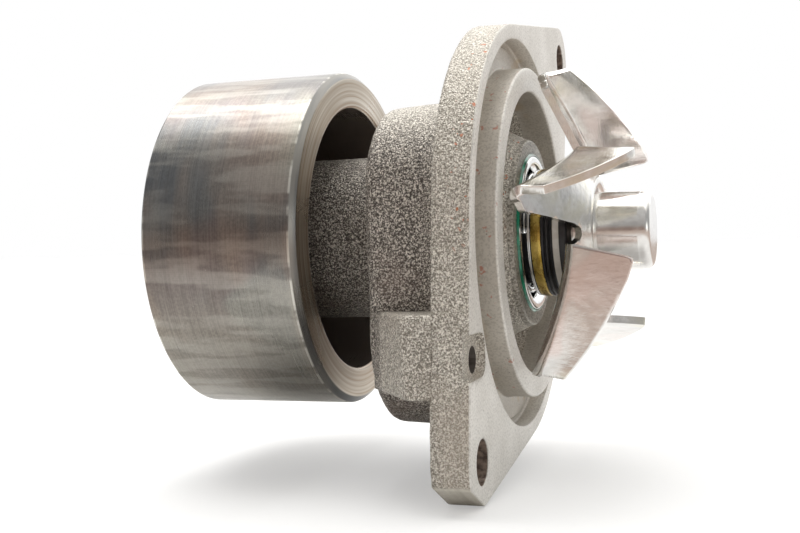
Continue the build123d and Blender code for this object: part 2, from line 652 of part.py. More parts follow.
with BuildPart() as impeller:
    # coned sheet with a turned-in collar
    with BuildSketch(Plane.XY):
        with BuildLine():
            dish_front = Line(
                (dish_back_x(DISH_REACH) + DISH_THICKNESS_X, DISH_REACH),
                (dish_back_x(CROWN_OUTER_RADIUS + 0.9) + DISH_THICKNESS_X, CROWN_OUTER_RADIUS + 0.9),
            )
            crown = TangentArc(dish_front @ 1, (CROWN_X, CROWN_OUTER_RADIUS - 1.4), tangent=dish_front % 1)
            Polyline(
                crown @ 1,
                (CROWN_X, SHAFT_RADIUS + COLLAR_MOUTH),
                (CROWN_X - COLLAR_MOUTH, SHAFT_RADIUS),
                (COLLAR_REAR_X, SHAFT_RADIUS),
                (COLLAR_REAR_X, 0),
                (0, 0),
                (0, DISH_REACH),
                dish_front @ 0,
            )
        make_face()
    revolve(axis=Axis.X)
    # star outline: five arms and a hub, with a relief notch between arms
    with BuildSketch(Plane.YZ) as star_outline:
        Circle(HUB_OUTLINE_RADIUS)
        with PolarLocations(0, VANE_COUNT, start_angle=FIRST_VANE_ANGLE):
            Polygon(
                (0, 0),
                (FOLD_DISTANCE, FOLD_START),
                (FOLD_DISTANCE, FOLD_END),
                (FOLD_DISTANCE - 1.2, FOLD_END + 0.7),
                (12.9, 25.9),
                (5.8, 13.0),
                align=None,
            )
        with PolarLocations(0, VANE_COUNT, start_angle=FIRST_VANE_ANGLE):
            with Locations((NOTCH_DISTANCE, 0)):
                Circle(NOTCH_RADIUS, mode=Mode.SUBTRACT)
    extrude(amount=CROWN_X + 1, mode=Mode.INTERSECT)
    # blades folded forward along the straight outer edge of each arm
    for vane in range(VANE_COUNT):
        vane_angle = math.radians(FIRST_VANE_ANGLE + 360 / VANE_COUNT * vane)
        outward = (0, math.cos(vane_angle), math.sin(vane_angle))
        along = (0, -math.sin(vane_angle), math.cos(vane_angle))
        blade_plane = Plane(
            origin=(0, FOLD_DISTANCE * outward[1], FOLD_DISTANCE * outward[2]),
            x_dir=along,
            z_dir=outward,
        )
        with BuildSketch(blade_plane):
            with BuildLine():
                blade_root = Line((FOLD_END, 2.0), (FOLD_START, 2.0))
                blade_inner = Line(blade_root @ 1, (4.85, 24.3))
                blade_tip_round = TangentArc(blade_inner @ 1, (5.35, 24.7), tangent=blade_inner % 1)
                blade_free = Spline(
                    blade_tip_round @ 1,
                    (13.5, 21.2),
                    (21.0, 16.7),
                    (28.2, 11.0),
                )
                Line(blade_free @ 1, blade_root @ 0)
            make_face()
        extrude(amount=-SHEET)
    add(under_dish.part, mode=Mode.SUBTRACT)
    # outside radius of each fold, where a blade turns up from its arm
    fillet(edges().filter_by(is_fold_edge), BEND_RADIUS)
    # the revolved sections are solid to the axis, so the collar is bored last
    with BuildSketch(Plane.YZ):
        Circle(SHAFT_RADIUS)
    extrude(amount=CROWN_X + 1, mode=Mode.SUBTRACT)
save(impeller, "impeller")
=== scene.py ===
import json
import math

import bmesh
import bpy
import numpy as np
from mathutils import Matrix, Vector, geometry, noise


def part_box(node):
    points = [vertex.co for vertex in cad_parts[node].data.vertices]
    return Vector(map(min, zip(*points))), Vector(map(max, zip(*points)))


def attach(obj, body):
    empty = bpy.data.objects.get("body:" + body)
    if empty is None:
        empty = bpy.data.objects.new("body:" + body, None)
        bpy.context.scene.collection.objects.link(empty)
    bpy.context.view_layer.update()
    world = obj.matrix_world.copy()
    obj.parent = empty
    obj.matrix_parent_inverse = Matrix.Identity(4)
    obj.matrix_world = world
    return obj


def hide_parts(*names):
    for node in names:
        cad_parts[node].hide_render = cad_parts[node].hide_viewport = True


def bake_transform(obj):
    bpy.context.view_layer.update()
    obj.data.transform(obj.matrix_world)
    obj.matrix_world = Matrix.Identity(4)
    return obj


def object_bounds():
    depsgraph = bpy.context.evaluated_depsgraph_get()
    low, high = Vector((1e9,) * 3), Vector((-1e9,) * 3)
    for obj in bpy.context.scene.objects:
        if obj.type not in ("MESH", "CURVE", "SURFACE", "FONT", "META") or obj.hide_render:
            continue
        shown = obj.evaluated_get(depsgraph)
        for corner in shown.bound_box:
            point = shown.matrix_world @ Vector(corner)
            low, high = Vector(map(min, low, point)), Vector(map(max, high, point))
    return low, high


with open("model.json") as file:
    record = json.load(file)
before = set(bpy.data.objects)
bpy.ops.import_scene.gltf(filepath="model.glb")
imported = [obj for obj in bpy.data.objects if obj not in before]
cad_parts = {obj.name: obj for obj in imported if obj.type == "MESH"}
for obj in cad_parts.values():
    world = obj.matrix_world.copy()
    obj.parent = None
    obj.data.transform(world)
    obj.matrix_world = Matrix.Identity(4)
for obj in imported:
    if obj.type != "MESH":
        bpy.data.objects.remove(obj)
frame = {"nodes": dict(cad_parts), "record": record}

# An engine water pump: cast housing, belt pulley, stamped impeller and face seal.
# Lengths are in millimetres until an object is made, which is in metres.
# +X runs along the shaft towards the impeller, +Z is up, and X = 0 is the
# flange's machined face.

CAD_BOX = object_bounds()
MM = 0.001
SMALL = 1e-6


def limits(node):
    """Lowest and highest corner of a CAD node in millimetres."""
    low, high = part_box(node)
    return low / MM, high / MM


def mount(name):
    """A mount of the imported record."""
    return next(m for m in frame["record"]["mounts"] if m["name"] == name)


# ---- driving dimensions, read from the frame -------------------------------------
HOUSING_LOW, HOUSING_HIGH = limits("pump_housing")
PULLEY_LOW, PULLEY_HIGH = limits("belt_pulley")
SHAFT_LOW, SHAFT_HIGH = limits("shaft")
CUP_LOW, CUP_HIGH = limits("seal_cup")
BAND_LOW, BAND_HIGH = limits("drive_band")
CARBON_LOW, CARBON_HIGH = limits("carbon_ring")
CERAMIC_LOW, CERAMIC_HIGH = limits("ceramic_seat")
BOOT_HIGH = limits("seat_boot")[1]
RING_LOW, RING_HIGH = limits("bearing_outer_ring")
BELLOWS_LOW, BELLOWS_HIGH = limits("seal_bellows")

SHAFT_RADIUS = SHAFT_HIGH.z
PULLEY_RADIUS = PULLEY_HIGH.z
BEARING_RADIUS = RING_HIGH.z
PILOT_RADIUS = mount("pilot")["dims"]["r_mm"]
BOLT_HOLE_RADIUS = mount("mounting_bolts")["dims"]["hole_r_mm"]
DRAIN_RADIUS = mount("drain")["dims"]["r_mm"]

# ---- housing ---------------------------------------------------------------------
FLANGE_THICKNESS = 7.5
FLANGE_RADIUS = 43.2
EAR_RADIUS = 8.3
UPPER_EAR = np.array((HOUSING_HIGH.y - EAR_RADIUS, HOUSING_HIGH.z - EAR_RADIUS))
LOWER_EAR = 2 * np.array(mount("mounting_bolts")["pos_m"][1:]) / MM - UPPER_EAR
EAR_FLAT = 61.0
EAR_FLAT_ANGLE = math.radians(242.2)
EAR_FLAT_NORMAL = np.array((math.cos(EAR_FLAT_ANGLE), math.sin(EAR_FLAT_ANGLE)))
PILOT_FRONT = HOUSING_HIGH.x
PILOT_BORE = 29.2
GROOVE_RADIUS = 40.15
GROOVE_DEPTH = 3.6
TROUGH_FLOOR = -7.0
TROUGH_INNER = 23.0
BOSS_RADIUS = 19.5
BOSS_FACE = 2.0
CHAMBER_SIZE = (65.4, 63.2)
CHAMBER_CORNER = 18.0
CHAMBER_CENTER_Z = -5.8
CHAMBER_REAR = -24.0
CHAMBER_DRAFT = math.tan(math.radians(3))
CHAMBER_EDGE = 2.6
NECK_RADIUS = 17.4
NECK_REAR = HOUSING_LOW.x
NECK_FILLET = 2.5
SEAL_BORE = 14.0
SEAL_SEAT_X = -8.2
DRAIN_CHAMBER = 13.0
DRAIN_CHAMBER_REAR = -16.5
PAD_TOP_Z = -14.0
PAD_BOTTOM_Z = -29.0
PAD_FLAT_X = -12.4
PAD_SIDE_Y = -45.8
DRAIN_CENTER = Vector(mount("drain")["pos_m"]) / MM
AROUND = 600
CAST_STEP = 0.6


# ---- shared mesh helpers -----------------------------------------------------------
def make_object(name, points, faces, materials, face_materials=None):
    """A mesh object in metres from points in millimetres."""
    mesh = bpy.data.meshes.new(name)
    mesh.from_pydata([tuple(p) for p in np.asarray(points, float) * MM], [], faces)
    mesh.validate()
    for material in materials:
        mesh.materials.append(material)
    if face_materials is not None:
        mesh.polygons.foreach_set("material_index", face_materials)
    mesh.shade_smooth()
    made = bpy.data.objects.new(name, mesh)
    bpy.context.scene.collection.objects.link(made)
    return made


def face_outward(data):
    """Turns a closed mesh's faces outward."""
    mesh = bmesh.new()
    mesh.from_mesh(data)
    bmesh.ops.recalc_face_normals(mesh, faces=mesh.faces)
    mesh.to_mesh(data)
    mesh.free()


def add_weighted_normals(piece):
    """Keeps flat faces flat beside small rounded edges."""
    modifier = piece.modifiers.new("weighted", "WEIGHTED_NORMAL")
    modifier.mode = "FACE_AREA"
    modifier.keep_sharp = True


def finish_piece(piece, body, nodes):
    """Puts a piece on its body in place of its CAD nodes."""
    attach(piece, body)
    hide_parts(*nodes)
    return piece


def round_corners(corners, closed, steps=4):
    """Points of an outline whose corners (a, b, size) are rounded by short curves."""
    count = len(corners)
    points = []
    for index, (a, b, size) in enumerate(corners):
        corner = np.array((a, b), float)
        inner = closed or 0 < index < count - 1
        before = np.array(corners[index - 1][:2], float) - corner
        after = np.array(corners[(index + 1) % count][:2], float) - corner
        if not inner or size <= 0:
            points.append(corner)
            continue
        reach = min(size, 0.48 * np.linalg.norm(before), 0.48 * np.linalg.norm(after))
        start = corner + before / np.linalg.norm(before) * reach
        end = corner + after / np.linalg.norm(after) * reach
        for step in range(steps + 1):
            t = step / steps
            points.append((1 - t) ** 2 * start + 2 * t * (1 - t) * corner + t**2 * end)
    return points


def lathe(name, corners, material, around=192, closed=True, steps=4, wobble=None, center=(0, 0)):
    """A turned piece. Corners are (x, radius, rounding); radius 0 makes a closed end."""
    profile = round_corners(corners, closed, steps)
    angles = np.arange(around) * 2 * math.pi / around
    points, rows = [], []
    for x, radius in profile:
        if radius < SMALL:
            rows.append([len(points)] * around)
            points.append((x, center[0], center[1]))
            continue
        rows.append(list(range(len(points), len(points) + around)))
        for angle in angles:
            r = radius + (wobble(x, radius, angle) if wobble else 0.0)
            points.append((x, center[0] + r * math.cos(angle), center[1] + r * math.sin(angle)))
    faces = []
    last = len(rows) if closed else len(rows) - 1
    for i in range(last):
        here, there = rows[i], rows[(i + 1) % len(rows)]
        for j in range(around):
            k = (j + 1) % around
            corner_ids = [here[j], there[j], there[k], here[k]]
            face = [v for n, v in enumerate(corner_ids) if v != corner_ids[n - 1]]
            if len(face) > 2:
                faces.append(face)
    piece = make_object(name, points, faces, [material])
    add_weighted_normals(piece)
    return piece


def combine(target, tool, operation):
    """Applies a boolean of target with tool and deletes the tool."""
    modifier = target.modifiers.new("combine", "BOOLEAN")
    modifier.operation = operation
    modifier.object = tool
    modifier.solver = "MANIFOLD"
    bpy.context.view_layer.update()
    result = bpy.data.meshes.new_from_object(target.evaluated_get(bpy.context.evaluated_depsgraph_get()))
    target.modifiers.remove(modifier)
    target.data = result
    bpy.data.objects.remove(tool)


# ---- node helpers --------------------------------------------------------------------
class Nodes:
    """Short calls for a material's node tree."""

    def __init__(self, name, world=None):
        self.material = world or bpy.data.materials.new(name)
        self.material.use_nodes = True
        self.tree = self.material.node_tree
        self.surface = self.tree.nodes["Background" if world else "Principled BSDF"]
        self.place = self.new("TexCoord").outputs["Generated" if world else "Object"]

    def new(self, kind):
        return self.tree.nodes.new("ShaderNode" + kind)

    def link(self, value, socket):
        if isinstance(value, bpy.types.NodeSocket):
            self.tree.links.new(value, socket)
        elif value is not None:
            socket.default_value = value

    def fill(self, node, *values):
        """Gives values to a node's first inputs, in order."""
        for value, socket in zip(values, node.inputs):
            self.link(value, socket)
        return node

    def math(self, operation, a, b=None):
        node = self.new("Math")
        node.operation = operation
        return self.fill(node, a, b).outputs[0]

    def plus(self, a, b):
        return self.math("ADD", a, b)

    def times(self, a, b):
        return self.math("MULTIPLY", a, b)

    def length(self, a, b):
        return self.math("SQRT", self.plus(self.times(a, a), self.times(b, b)))

    def axes(self):
        return self.fill(self.new("SeparateXYZ"), self.place).outputs

    def radius(self):
        """Distance from the shaft's axis, in metres."""
        _, y, z = self.axes()
        return self.length(y, z)

    def vector(self, x, y, z):
        return self.fill(self.new("CombineXYZ"), x, y, z).outputs[0]

    def scaled(self, x_scale, y_scale, z_scale):
        """Coordinates with a scale for each axis."""
        x, y, z = self.axes()
        return self.vector(self.times(x, x_scale), self.times(y, y_scale), self.times(z, z_scale))

    def around(self, along_scale, around_scale):
        """Coordinates for patterns that run round the shaft, without a seam."""
        x, y, z = self.axes()
        radius = self.radius()
        return self.sheared(
            self.times(x, along_scale),
            self.times(self.math("DIVIDE", y, radius), around_scale),
            self.times(self.math("DIVIDE", z, radius), around_scale),
        )

    def sheared(self, fast, a, b):
        """Stretched coordinates, sheared so that the noise's own grid lies askew."""
        a, b = self.plus(a, self.times(fast, 0.21)), self.plus(b, self.times(fast, 0.13))
        return self.vector(fast, a, b)

    def noise(self, scale, detail=2.0, roughness=0.5, place=None, distortion=0.0):
        node = self.new("TexNoise")
        self.link(self.place if place is None else place, node.inputs["Vector"])
        node.inputs["Scale"].default_value = scale
        node.inputs["Detail"].default_value = detail
        node.inputs["Roughness"].default_value = roughness
        node.inputs["Distortion"].default_value = distortion
        return node.outputs["Fac"]

    def cells(self, scale):
        """Distance to the nearest point of a random scatter."""
        node = self.new("TexVoronoi")
        self.link(self.place, node.inputs["Vector"])
        node.inputs["Scale"].default_value = scale
        return node.outputs["Distance"]

    def ramp(self, value, low, high, to_low=0.0, to_high=1.0):
        """Smooth step between two values, which may fall as well as rise."""
        node = self.new("MapRange")
        node.interpolation_type = "SMOOTHSTEP"
        return self.fill(node, value, low, high, to_low, to_high).outputs[0]

    def colors(self, value, stops):
        """A colour ramp; stops are (position, (r, g, b))."""
        node = self.fill(self.new("ValToRGB"), value)
        elements = node.color_ramp.elements
        while len(elements) < len(stops):
            elements.new(0.5)
        for element, (position, color) in zip(elements, stops):
            element.position = position
            element.color = (*color, 1)
        return node.outputs[0]

    def mix(self, factor, a, b):
        node = self.new("Mix")
        node.data_type = "RGBA"
        self.link(factor, node.inputs["Factor"])
        for value, name in ((a, "A"), (b, "B")):
            self.link((*value, 1) if isinstance(value, tuple) else value, node.inputs[name])
        return node.outputs["Result"]

    def over(self, color, mask, strength, top):
        """Lays one colour over another where a mask is 1."""
        return self.mix(self.times(mask, strength), color, top)

    def bump(self, height, distance, strength=1.0):
        node = self.new("Bump")
        self.link(height, node.inputs["Height"])
        node.inputs["Distance"].default_value = distance
        node.inputs["Strength"].default_value = strength
        return node.outputs[0]

    def edges(self, width):
        """1 on rounded edges no larger than width, 0 on flat places."""
        bevel = self.new("Bevel")
        bevel.samples = 6
        bevel.inputs["Radius"].default_value = width
        flat = self.new("NewGeometry").outputs["Normal"]
        product = self.new("VectorMath")
        product.operation = "DOT_PRODUCT"
        return self.ramp(self.fill(product, bevel.outputs[0], flat).outputs["Value"], 0.995, 0.9)

    def camera_ray(self):
        return self.new("LightPath").outputs["Is Camera Ray"]

    def finish(self, color, metallic, roughness, normal=None, **others):
        inputs = self.surface.inputs
        self.link((*color, 1) if isinstance(color, tuple) else color, inputs["Base Color"])
        self.link(metallic, inputs["Metallic"])
        self.link(roughness, inputs["Roughness"])
        self.link(normal, inputs["Normal"])
        for name, value in others.items():
            self.link(value, inputs[name.replace("_", " ")])
        return self.material


# ---- housing casting -----------------------------------------------------------------
def polar_angles(outline):
    """Angles of an outline's points about the shaft, rising from -pi."""
    return np.unwrap(np.arctan2(outline[:, 1], outline[:, 0]))


def arc(center, radius, start, end, count=60):
    """Points of an arc, angles in radians."""
    t = np.linspace(start, end, count)
    return np.stack([center[0] + radius * np.cos(t), center[1] + radius * np.sin(t)], 1)


def dense(pieces):
    """Joins stretches of points into a closed outline and divides each of its segments."""
    corners = np.concatenate(pieces)
    closed = np.concatenate([corners, corners[:1]])
    return np.concatenate([np.linspace(a, b, 24, endpoint=False) for a, b in zip(closed, closed[1:])])


def flange_outline():
    """A round plate joined by tangents to an ear at each bolt hole; the lower ear's tip is flat."""
    pieces = []
    ears = [UPPER_EAR, LOWER_EAR]
    for index, ear in enumerate(ears):
        other = ears[1 - index]
        direction = math.atan2(ear[1], ear[0])
        tangent = math.acos((FLANGE_RADIUS - EAR_RADIUS) / np.linalg.norm(ear))
        next_direction = math.atan2(other[1], other[0])
        next_tangent = math.acos((FLANGE_RADIUS - EAR_RADIUS) / np.linalg.norm(other))
        end = next_direction - next_tangent
        while end < direction + tangent:
            end += 2 * math.pi
        pieces.append(arc(ear, EAR_RADIUS, direction - tangent, direction + tangent))
        pieces.append(arc((0, 0), FLANGE_RADIUS, direction + tangent, end))
    outline = dense(pieces)
    past_flat = np.maximum(outline @ EAR_FLAT_NORMAL - EAR_FLAT, 0)
    return outline - past_flat[:, None] * EAR_FLAT_NORMAL


def chamber_outline():
    """Rounded rectangle of the chamber at its rear face."""
    half_y, half_z = CHAMBER_SIZE[0] / 2, CHAMBER_SIZE[1] / 2
    pieces = []
    for quarter, (side_y, side_z) in enumerate(((1, 1), (-1, 1), (-1, -1), (1, -1))):
        center = (
            side_y * (half_y - CHAMBER_CORNER),
            CHAMBER_CENTER_Z + side_z * (half_z - CHAMBER_CORNER),
        )
        pieces.append(arc(center, CHAMBER_CORNER, quarter * math.pi / 2, (quarter + 1) * math.pi / 2))
    return dense(pieces)


def sample_outline(outline, angles):
    """The outline's points and outward normals at polar angles about the shaft."""
    own = polar_angles(outline)
    turns = 2 * math.pi
    order = np.argsort(own % turns)
    radii = np.hypot(outline[:, 0], outline[:, 1])[order]
    radius = np.interp(angles % turns, (own % turns)[order], radii, period=turns)
    points = np.stack([radius * np.cos(angles), radius * np.sin(angles)], 1)
    along = np.roll(points, -1, 0) - np.roll(points, 1, 0)
    normals = np.stack([along[:, 1], -along[:, 0]], 1)
    return points, normals / np.linalg.norm(normals, axis=1)[:, None]


def sand(point):
    """Height in mm of a sand-cast surface over its nominal place."""
    grain = noise.noise(point * 0.95) * 0.055
    lumps = noise.noise(point * 0.30 + Vector((7, 3, 1))) * 0.085
    sag = noise.noise(point * 0.07 + Vector((2, 9, 4))) * 0.16
    return grain + lumps + sag


def roughen(piece, weights):
    """Moves a piece's vertices out or in as sand casting does, each by its own weight."""
    mesh = piece.data
    count = len(mesh.vertices)
    places, normals = np.empty(count * 3), np.empty(count * 3)
    mesh.vertices.foreach_get("co", places)
    mesh.vertices.foreach_get("normal", normals)
    places, normals = places.reshape(-1, 3), normals.reshape(-1, 3)
    heights = [sand(Vector(p) / MM) * w if w > 0 else 0.0 for p, w in zip(places, weights)]
    places += normals * np.array(heights)[:, None] * MM
    mesh.vertices.foreach_set("co", places.ravel())
    mesh.update()


def even_angles(outline):
    """Polar angles that space points evenly between angle and outline length."""
    step = np.linalg.norm(np.roll(outline, -1, 0) - outline, axis=1)
    own = polar_angles(outline)
    share = 0.5 * np.cumsum(step) / step.sum() + 0.5 * (own - own[0]) / (2 * math.pi)
    angles = np.interp(np.arange(AROUND) / AROUND, share, own)
    # the nearest point on each side goes to the flat's corner, so that the corner stays crisp
    reach = EAR_FLAT - LOWER_EAR @ EAR_FLAT_NORMAL
    half = math.sqrt(EAR_RADIUS**2 - reach**2)
    across = np.array((-EAR_FLAT_NORMAL[1], EAR_FLAT_NORMAL[0]))
    for side in (-1, 1):
        corner = LOWER_EAR + reach * EAR_FLAT_NORMAL + side * half * across
        gap = (math.atan2(corner[1], corner[0]) - angles + math.pi) % (2 * math.pi) - math.pi
        nearest = np.argmin(np.abs(gap))
        angles[nearest] += gap[nearest]
    return angles


def build_housing(cast, machined):
    flange = flange_outline()
    angles = even_angles(flange)
    flange_points, flange_normals = sample_outline(flange, angles)
    chamber_points, chamber_normals = sample_outline(chamber_outline(), angles)
    round_points = np.stack([np.cos(angles), np.sin(angles)], 1)

    rings = []  # (x, points, whether the strip up to this ring is cast)

    def add_ring(x, points, is_cast, step=None):
        """Adds a ring, with rings between the last one and it every step."""
        points = np.asarray(points, float)
        if step and rings:
            last_x, last = rings[-1][:2]
            reach = max(abs(x - last_x), np.linalg.norm(points - last, axis=1).mean())
            count = max(1, round(reach / step))
            for k in range(1, count):
                t = k / count
                rings.append((last_x + (x - last_x) * t, last + (points - last) * t, is_cast))
        rings.append((x, points, is_cast))

    def circle(x, radius, is_cast=False, step=None):
        add_ring(x, radius * round_points, is_cast, step)

    def chamber(x, offset, is_cast=True, step=None):
        grown = offset + CHAMBER_DRAFT * (x - CHAMBER_REAR)
        add_ring(x, chamber_points + grown * chamber_normals, is_cast, step)

    def rim(x, offset, is_cast=True, step=None):
        add_ring(x, flange_points + offset * flange_normals, is_cast, step)

    def quarter(count):
        """(1 - cos, sin) along a quarter circle, without its start."""
        return [(1 - math.cos(a), math.sin(a)) for a in np.linspace(0, math.pi / 2, count + 1)[1:]]

    # neck and its root
    circle(NECK_REAR, NECK_RADIUS - 0.8)
    circle(NECK_REAR + 0.25, NECK_RADIUS - 0.35)
    circle(NECK_REAR + 0.8, NECK_RADIUS, True)
    circle(CHAMBER_REAR - NECK_FILLET, NECK_RADIUS, True, CAST_STEP)
    for rise, run in quarter(5):
        circle(CHAMBER_REAR - NECK_FILLET * (1 - run), NECK_RADIUS + NECK_FILLET * rise, True)
    # chamber: rear face, rounded edge, side and root
    chamber(CHAMBER_REAR, -CHAMBER_EDGE, True, CAST_STEP)
    for rise, run in quarter(6):
        chamber(CHAMBER_REAR + CHAMBER_EDGE * rise, -CHAMBER_EDGE * (1 - run))
    root = 1.1
    chamber(-FLANGE_THICKNESS - root, 0, True, CAST_STEP)
    for rise, run in quarter(3):
        chamber(-FLANGE_THICKNESS - root * (1 - run), root * rise)
    # flange: rear face, rounded edge, side and machined face
    edge = 0.9
    rim(-FLANGE_THICKNESS, -edge, True, CAST_STEP)
    for rise, run in quarter(4):
        rim(-FLANGE_THICKNESS + edge * rise, -edge * (1 - run))
    rim(-0.3, 0, True, CAST_STEP)
    rim(-0.08, -0.06, False)
    rim(0, -0.25, False)
    circle(0, GROOVE_RADIUS + 0.2, False, 2.0)
    # groove, pilot ring, trough and seal boss
    turned = [
        (0, GROOVE_RADIUS + 0.2, 0),
        (-0.12, GROOVE_RADIUS, 0),
        (-GROOVE_DEPTH, GROOVE_RADIUS, 0.5),
        (-GROOVE_DEPTH, GROOVE_RADIUS - 1.1, 0.1),
        (-GROOVE_DEPTH + 0.25, GROOVE_RADIUS - 1.35, 0.1),
        (-GROOVE_DEPTH + 0.25, PILOT_RADIUS, 0.4),
        (PILOT_FRONT, PILOT_RADIUS, 0.45),
        (PILOT_FRONT, PILOT_BORE, 0.4),
        (TROUGH_FLOOR + 3.0, PILOT_BORE, 0),
    ]
    for x, radius in round_corners(turned, False, 3)[1:]:
        circle(x, radius, False, 1.2)
    trough = [
        (TROUGH_FLOOR + 3.0, PILOT_BORE, 0),
        (TROUGH_FLOOR, PILOT_BORE - 1.0, 1.8),
        (TROUGH_FLOOR, TROUGH_INNER + 0.5, 2.0),
        (BOSS_FACE - 1.2, BOSS_RADIUS, 0),
    ]
    for x, radius in round_corners(trough, False, 5)[1:]:
        circle(x, radius, True, CAST_STEP)
    inside = [
        (BOSS_FACE - 1.2, BOSS_RADIUS, 0),
        (BOSS_FACE, BOSS_RADIUS - 0.25, 0.4),
        (BOSS_FACE, SEAL_BORE, 0.2),
        (SEAL_SEAT_X, SEAL_BORE, 0.2),
        (SEAL_SEAT_X, DRAIN_CHAMBER, 0.3),
        (DRAIN_CHAMBER_REAR, DRAIN_CHAMBER, 0.3),
        (DRAIN_CHAMBER_REAR, BEARING_RADIUS, 0),
        (NECK_REAR + 0.5, BEARING_RADIUS, 0.2),
        (NECK_REAR, BEARING_RADIUS + 0.5, 0.2),
        (NECK_REAR, NECK_RADIUS - 0.8, 0),
    ]
    for x, radius in round_corners(inside, False, 3)[1:-1]:
        circle(x, radius, False, 2.5)

    count = len(rings)
    points = np.concatenate([
        np.column_stack([np.full(AROUND, x), ring]) for x, ring, _ in rings
    ])
    faces, face_materials = [], []
    for i in range(count):
        here, there = i * AROUND, (i + 1) % count * AROUND
        is_cast = rings[(i + 1) % count][2]
        for j in range(AROUND):
            k = (j + 1) % AROUND
            faces.append((here + j, there + j, there + k, here + k))
            face_materials.append(0 if is_cast else 1)
    housing = make_object("housing_casting", points, faces, [cast, machined], face_materials)

    # only vertices with cast faces all round them are roughened
    weights = np.ones(count)
    for i in range(count):
        if not (rings[i][2] and rings[(i + 1) % count][2]):
            weights[i] = 0
    weights = np.repeat(weights, AROUND)
    weights[points[:, 1:] @ EAR_FLAT_NORMAL > EAR_FLAT - 1.0] = 0
    roughen(housing, weights)

    combine(housing, build_pad(cast, flange_points), "UNION")
    cut_holes(housing, cast, machined)
    housing.data.shade_smooth()
    add_weighted_normals(housing)
    return finish_piece(housing, "housing", ["pump_housing"])


def build_pad(cast, flange_points):
    """Drain pad: a block behind the flange, flush with its side."""
    side = flange_points[flange_points[:, 0] < 0]
    side = side[np.argsort(side[:, 1])]

    def side_y(z):
        return float(np.interp(z, side[:, 1], side[:, 0]))

    bevel_rear = CHAMBER_REAR + 0.8
    chamber_y = -CHAMBER_SIZE[0] / 2 + 1.4
    bevel_slope = (chamber_y - PAD_SIDE_Y) / (bevel_rear - PAD_FLAT_X)
    mesh = bmesh.new()
    rows = []
    for z in (PAD_BOTTOM_Z, PAD_TOP_Z):
        y = side_y(z)
        meet_x = PAD_FLAT_X + (y - PAD_SIDE_Y) / bevel_slope
        outline = [
            (-2.0, y + 6.0),
            (-2.0, y + 0.4),
            (-6.4, y + 0.4),
            (-7.0, y),
            (meet_x, y),
            (bevel_rear, chamber_y),
            (bevel_rear, chamber_y + 6.0),
        ]
        rows.append([mesh.verts.new((x * MM, v * MM, z * MM)) for x, v in outline])
    count = len(rows[0])
    mesh.faces.new(list(reversed(rows[0])))
    mesh.faces.new(rows[1])
    for i in range(count):
        j = (i + 1) % count
        mesh.faces.new((rows[0][i], rows[0][j], rows[1][j], rows[1][i]))
    bmesh.ops.recalc_face_normals(mesh, faces=mesh.faces)
    outer = [
        e for e in mesh.edges
        if all(v.co.x < -6.9 * MM and v.co.y < (chamber_y + 1) * MM for v in e.verts)
    ]
    bmesh.ops.bevel(mesh, geom=outer, offset=0.9 * MM, segments=3, affect="EDGES", profile=0.5)
    bmesh.ops.triangulate(mesh, faces=mesh.faces)
    for _ in range(6):
        long_edges = [e for e in mesh.edges if e.calc_length() > 1.0 * MM]
        if not long_edges:
            break
        bmesh.ops.subdivide_edges(mesh, edges=long_edges, cuts=1, use_grid_fill=False)
        bmesh.ops.triangulate(mesh, faces=mesh.faces)
    data = bpy.data.meshes.new("pad")
    mesh.to_mesh(data)
    mesh.free()
    data.materials.append(cast)
    data.materials.append(None)
    pad = bpy.data.objects.new("pad", data)
    bpy.context.scene.collection.objects.link(pad)
    roughen(pad, [vertex.co.x < -7.2 * MM for vertex in data.vertices])
    return pad


def hole_cutter(name, material, center, radius, depth, lip, blind=False, around=64):
    """A drill along X with a small countersink at the machined face."""
    end = [(-depth - (0.55 * radius if blind else 0.0), 0, 0)]
    corners = [(1.5, 0, 0), (1.5, radius + lip, 0), (0.02, radius + lip, 0), (-lip, radius, 0)]
    corners += [(-depth, radius, 0)] + end
    return lathe(name, corners, material, around, closed=False, center=center)


def cut_holes(housing, cast, machined):
    """Bolt holes, and the drain's pocket and hole."""
    for ear in (LOWER_EAR, UPPER_EAR):
        drill = hole_cutter("drill", machined, ear, BOLT_HOLE_RADIUS, FLANGE_THICKNESS + 2, 0.06)
        combine(housing, drill, "DIFFERENCE")
    pocket_end = Vector((0, DRAIN_CENTER.y + 3.6, DRAIN_CENTER.z + 0.85))
    outline = [
        (pocket_end.y, pocket_end.z - 4.0, 3.2), (pocket_end.y, pocket_end.z + 4.0, 3.2),
        (pocket_end.y - 16, pocket_end.z + 4.2, 0), (pocket_end.y - 16, pocket_end.z - 4.2, 0),
    ]
    ring = round_corners(outline, True, 6)
    count = len(ring)
    points, faces = [], []
    middle = np.array((pocket_end.y - 8, pocket_end.z))
    levels = ((1.0, 0.0), (-0.9, 0.0), (-1.3, 0.2), (-1.5, 0.6))
    for x, inset in levels:
        for y, z in ring:
            offset = np.array((y, z)) - middle
            points.append((x, *(middle + offset * (1 - inset / 4.0))))
    for level in range(len(levels) - 1):
        for j in range(count):
            k = (j + 1) % count
            here, there = level * count, (level + 1) * count
            faces.append((here + j, here + k, there + k, there + j))
    faces.append(tuple(reversed(range(count))))
    faces.append(tuple(range((len(levels) - 1) * count, len(levels) * count)))
    pocket = make_object("pocket", points, faces, [cast])
    face_outward(pocket.data)
    combine(housing, pocket, "DIFFERENCE")
    drill = hole_cutter("drain_drill", machined, DRAIN_CENTER.yz, DRAIN_RADIUS, 14.5, 0.1, blind=True)
    combine(housing, drill, "DIFFERENCE")


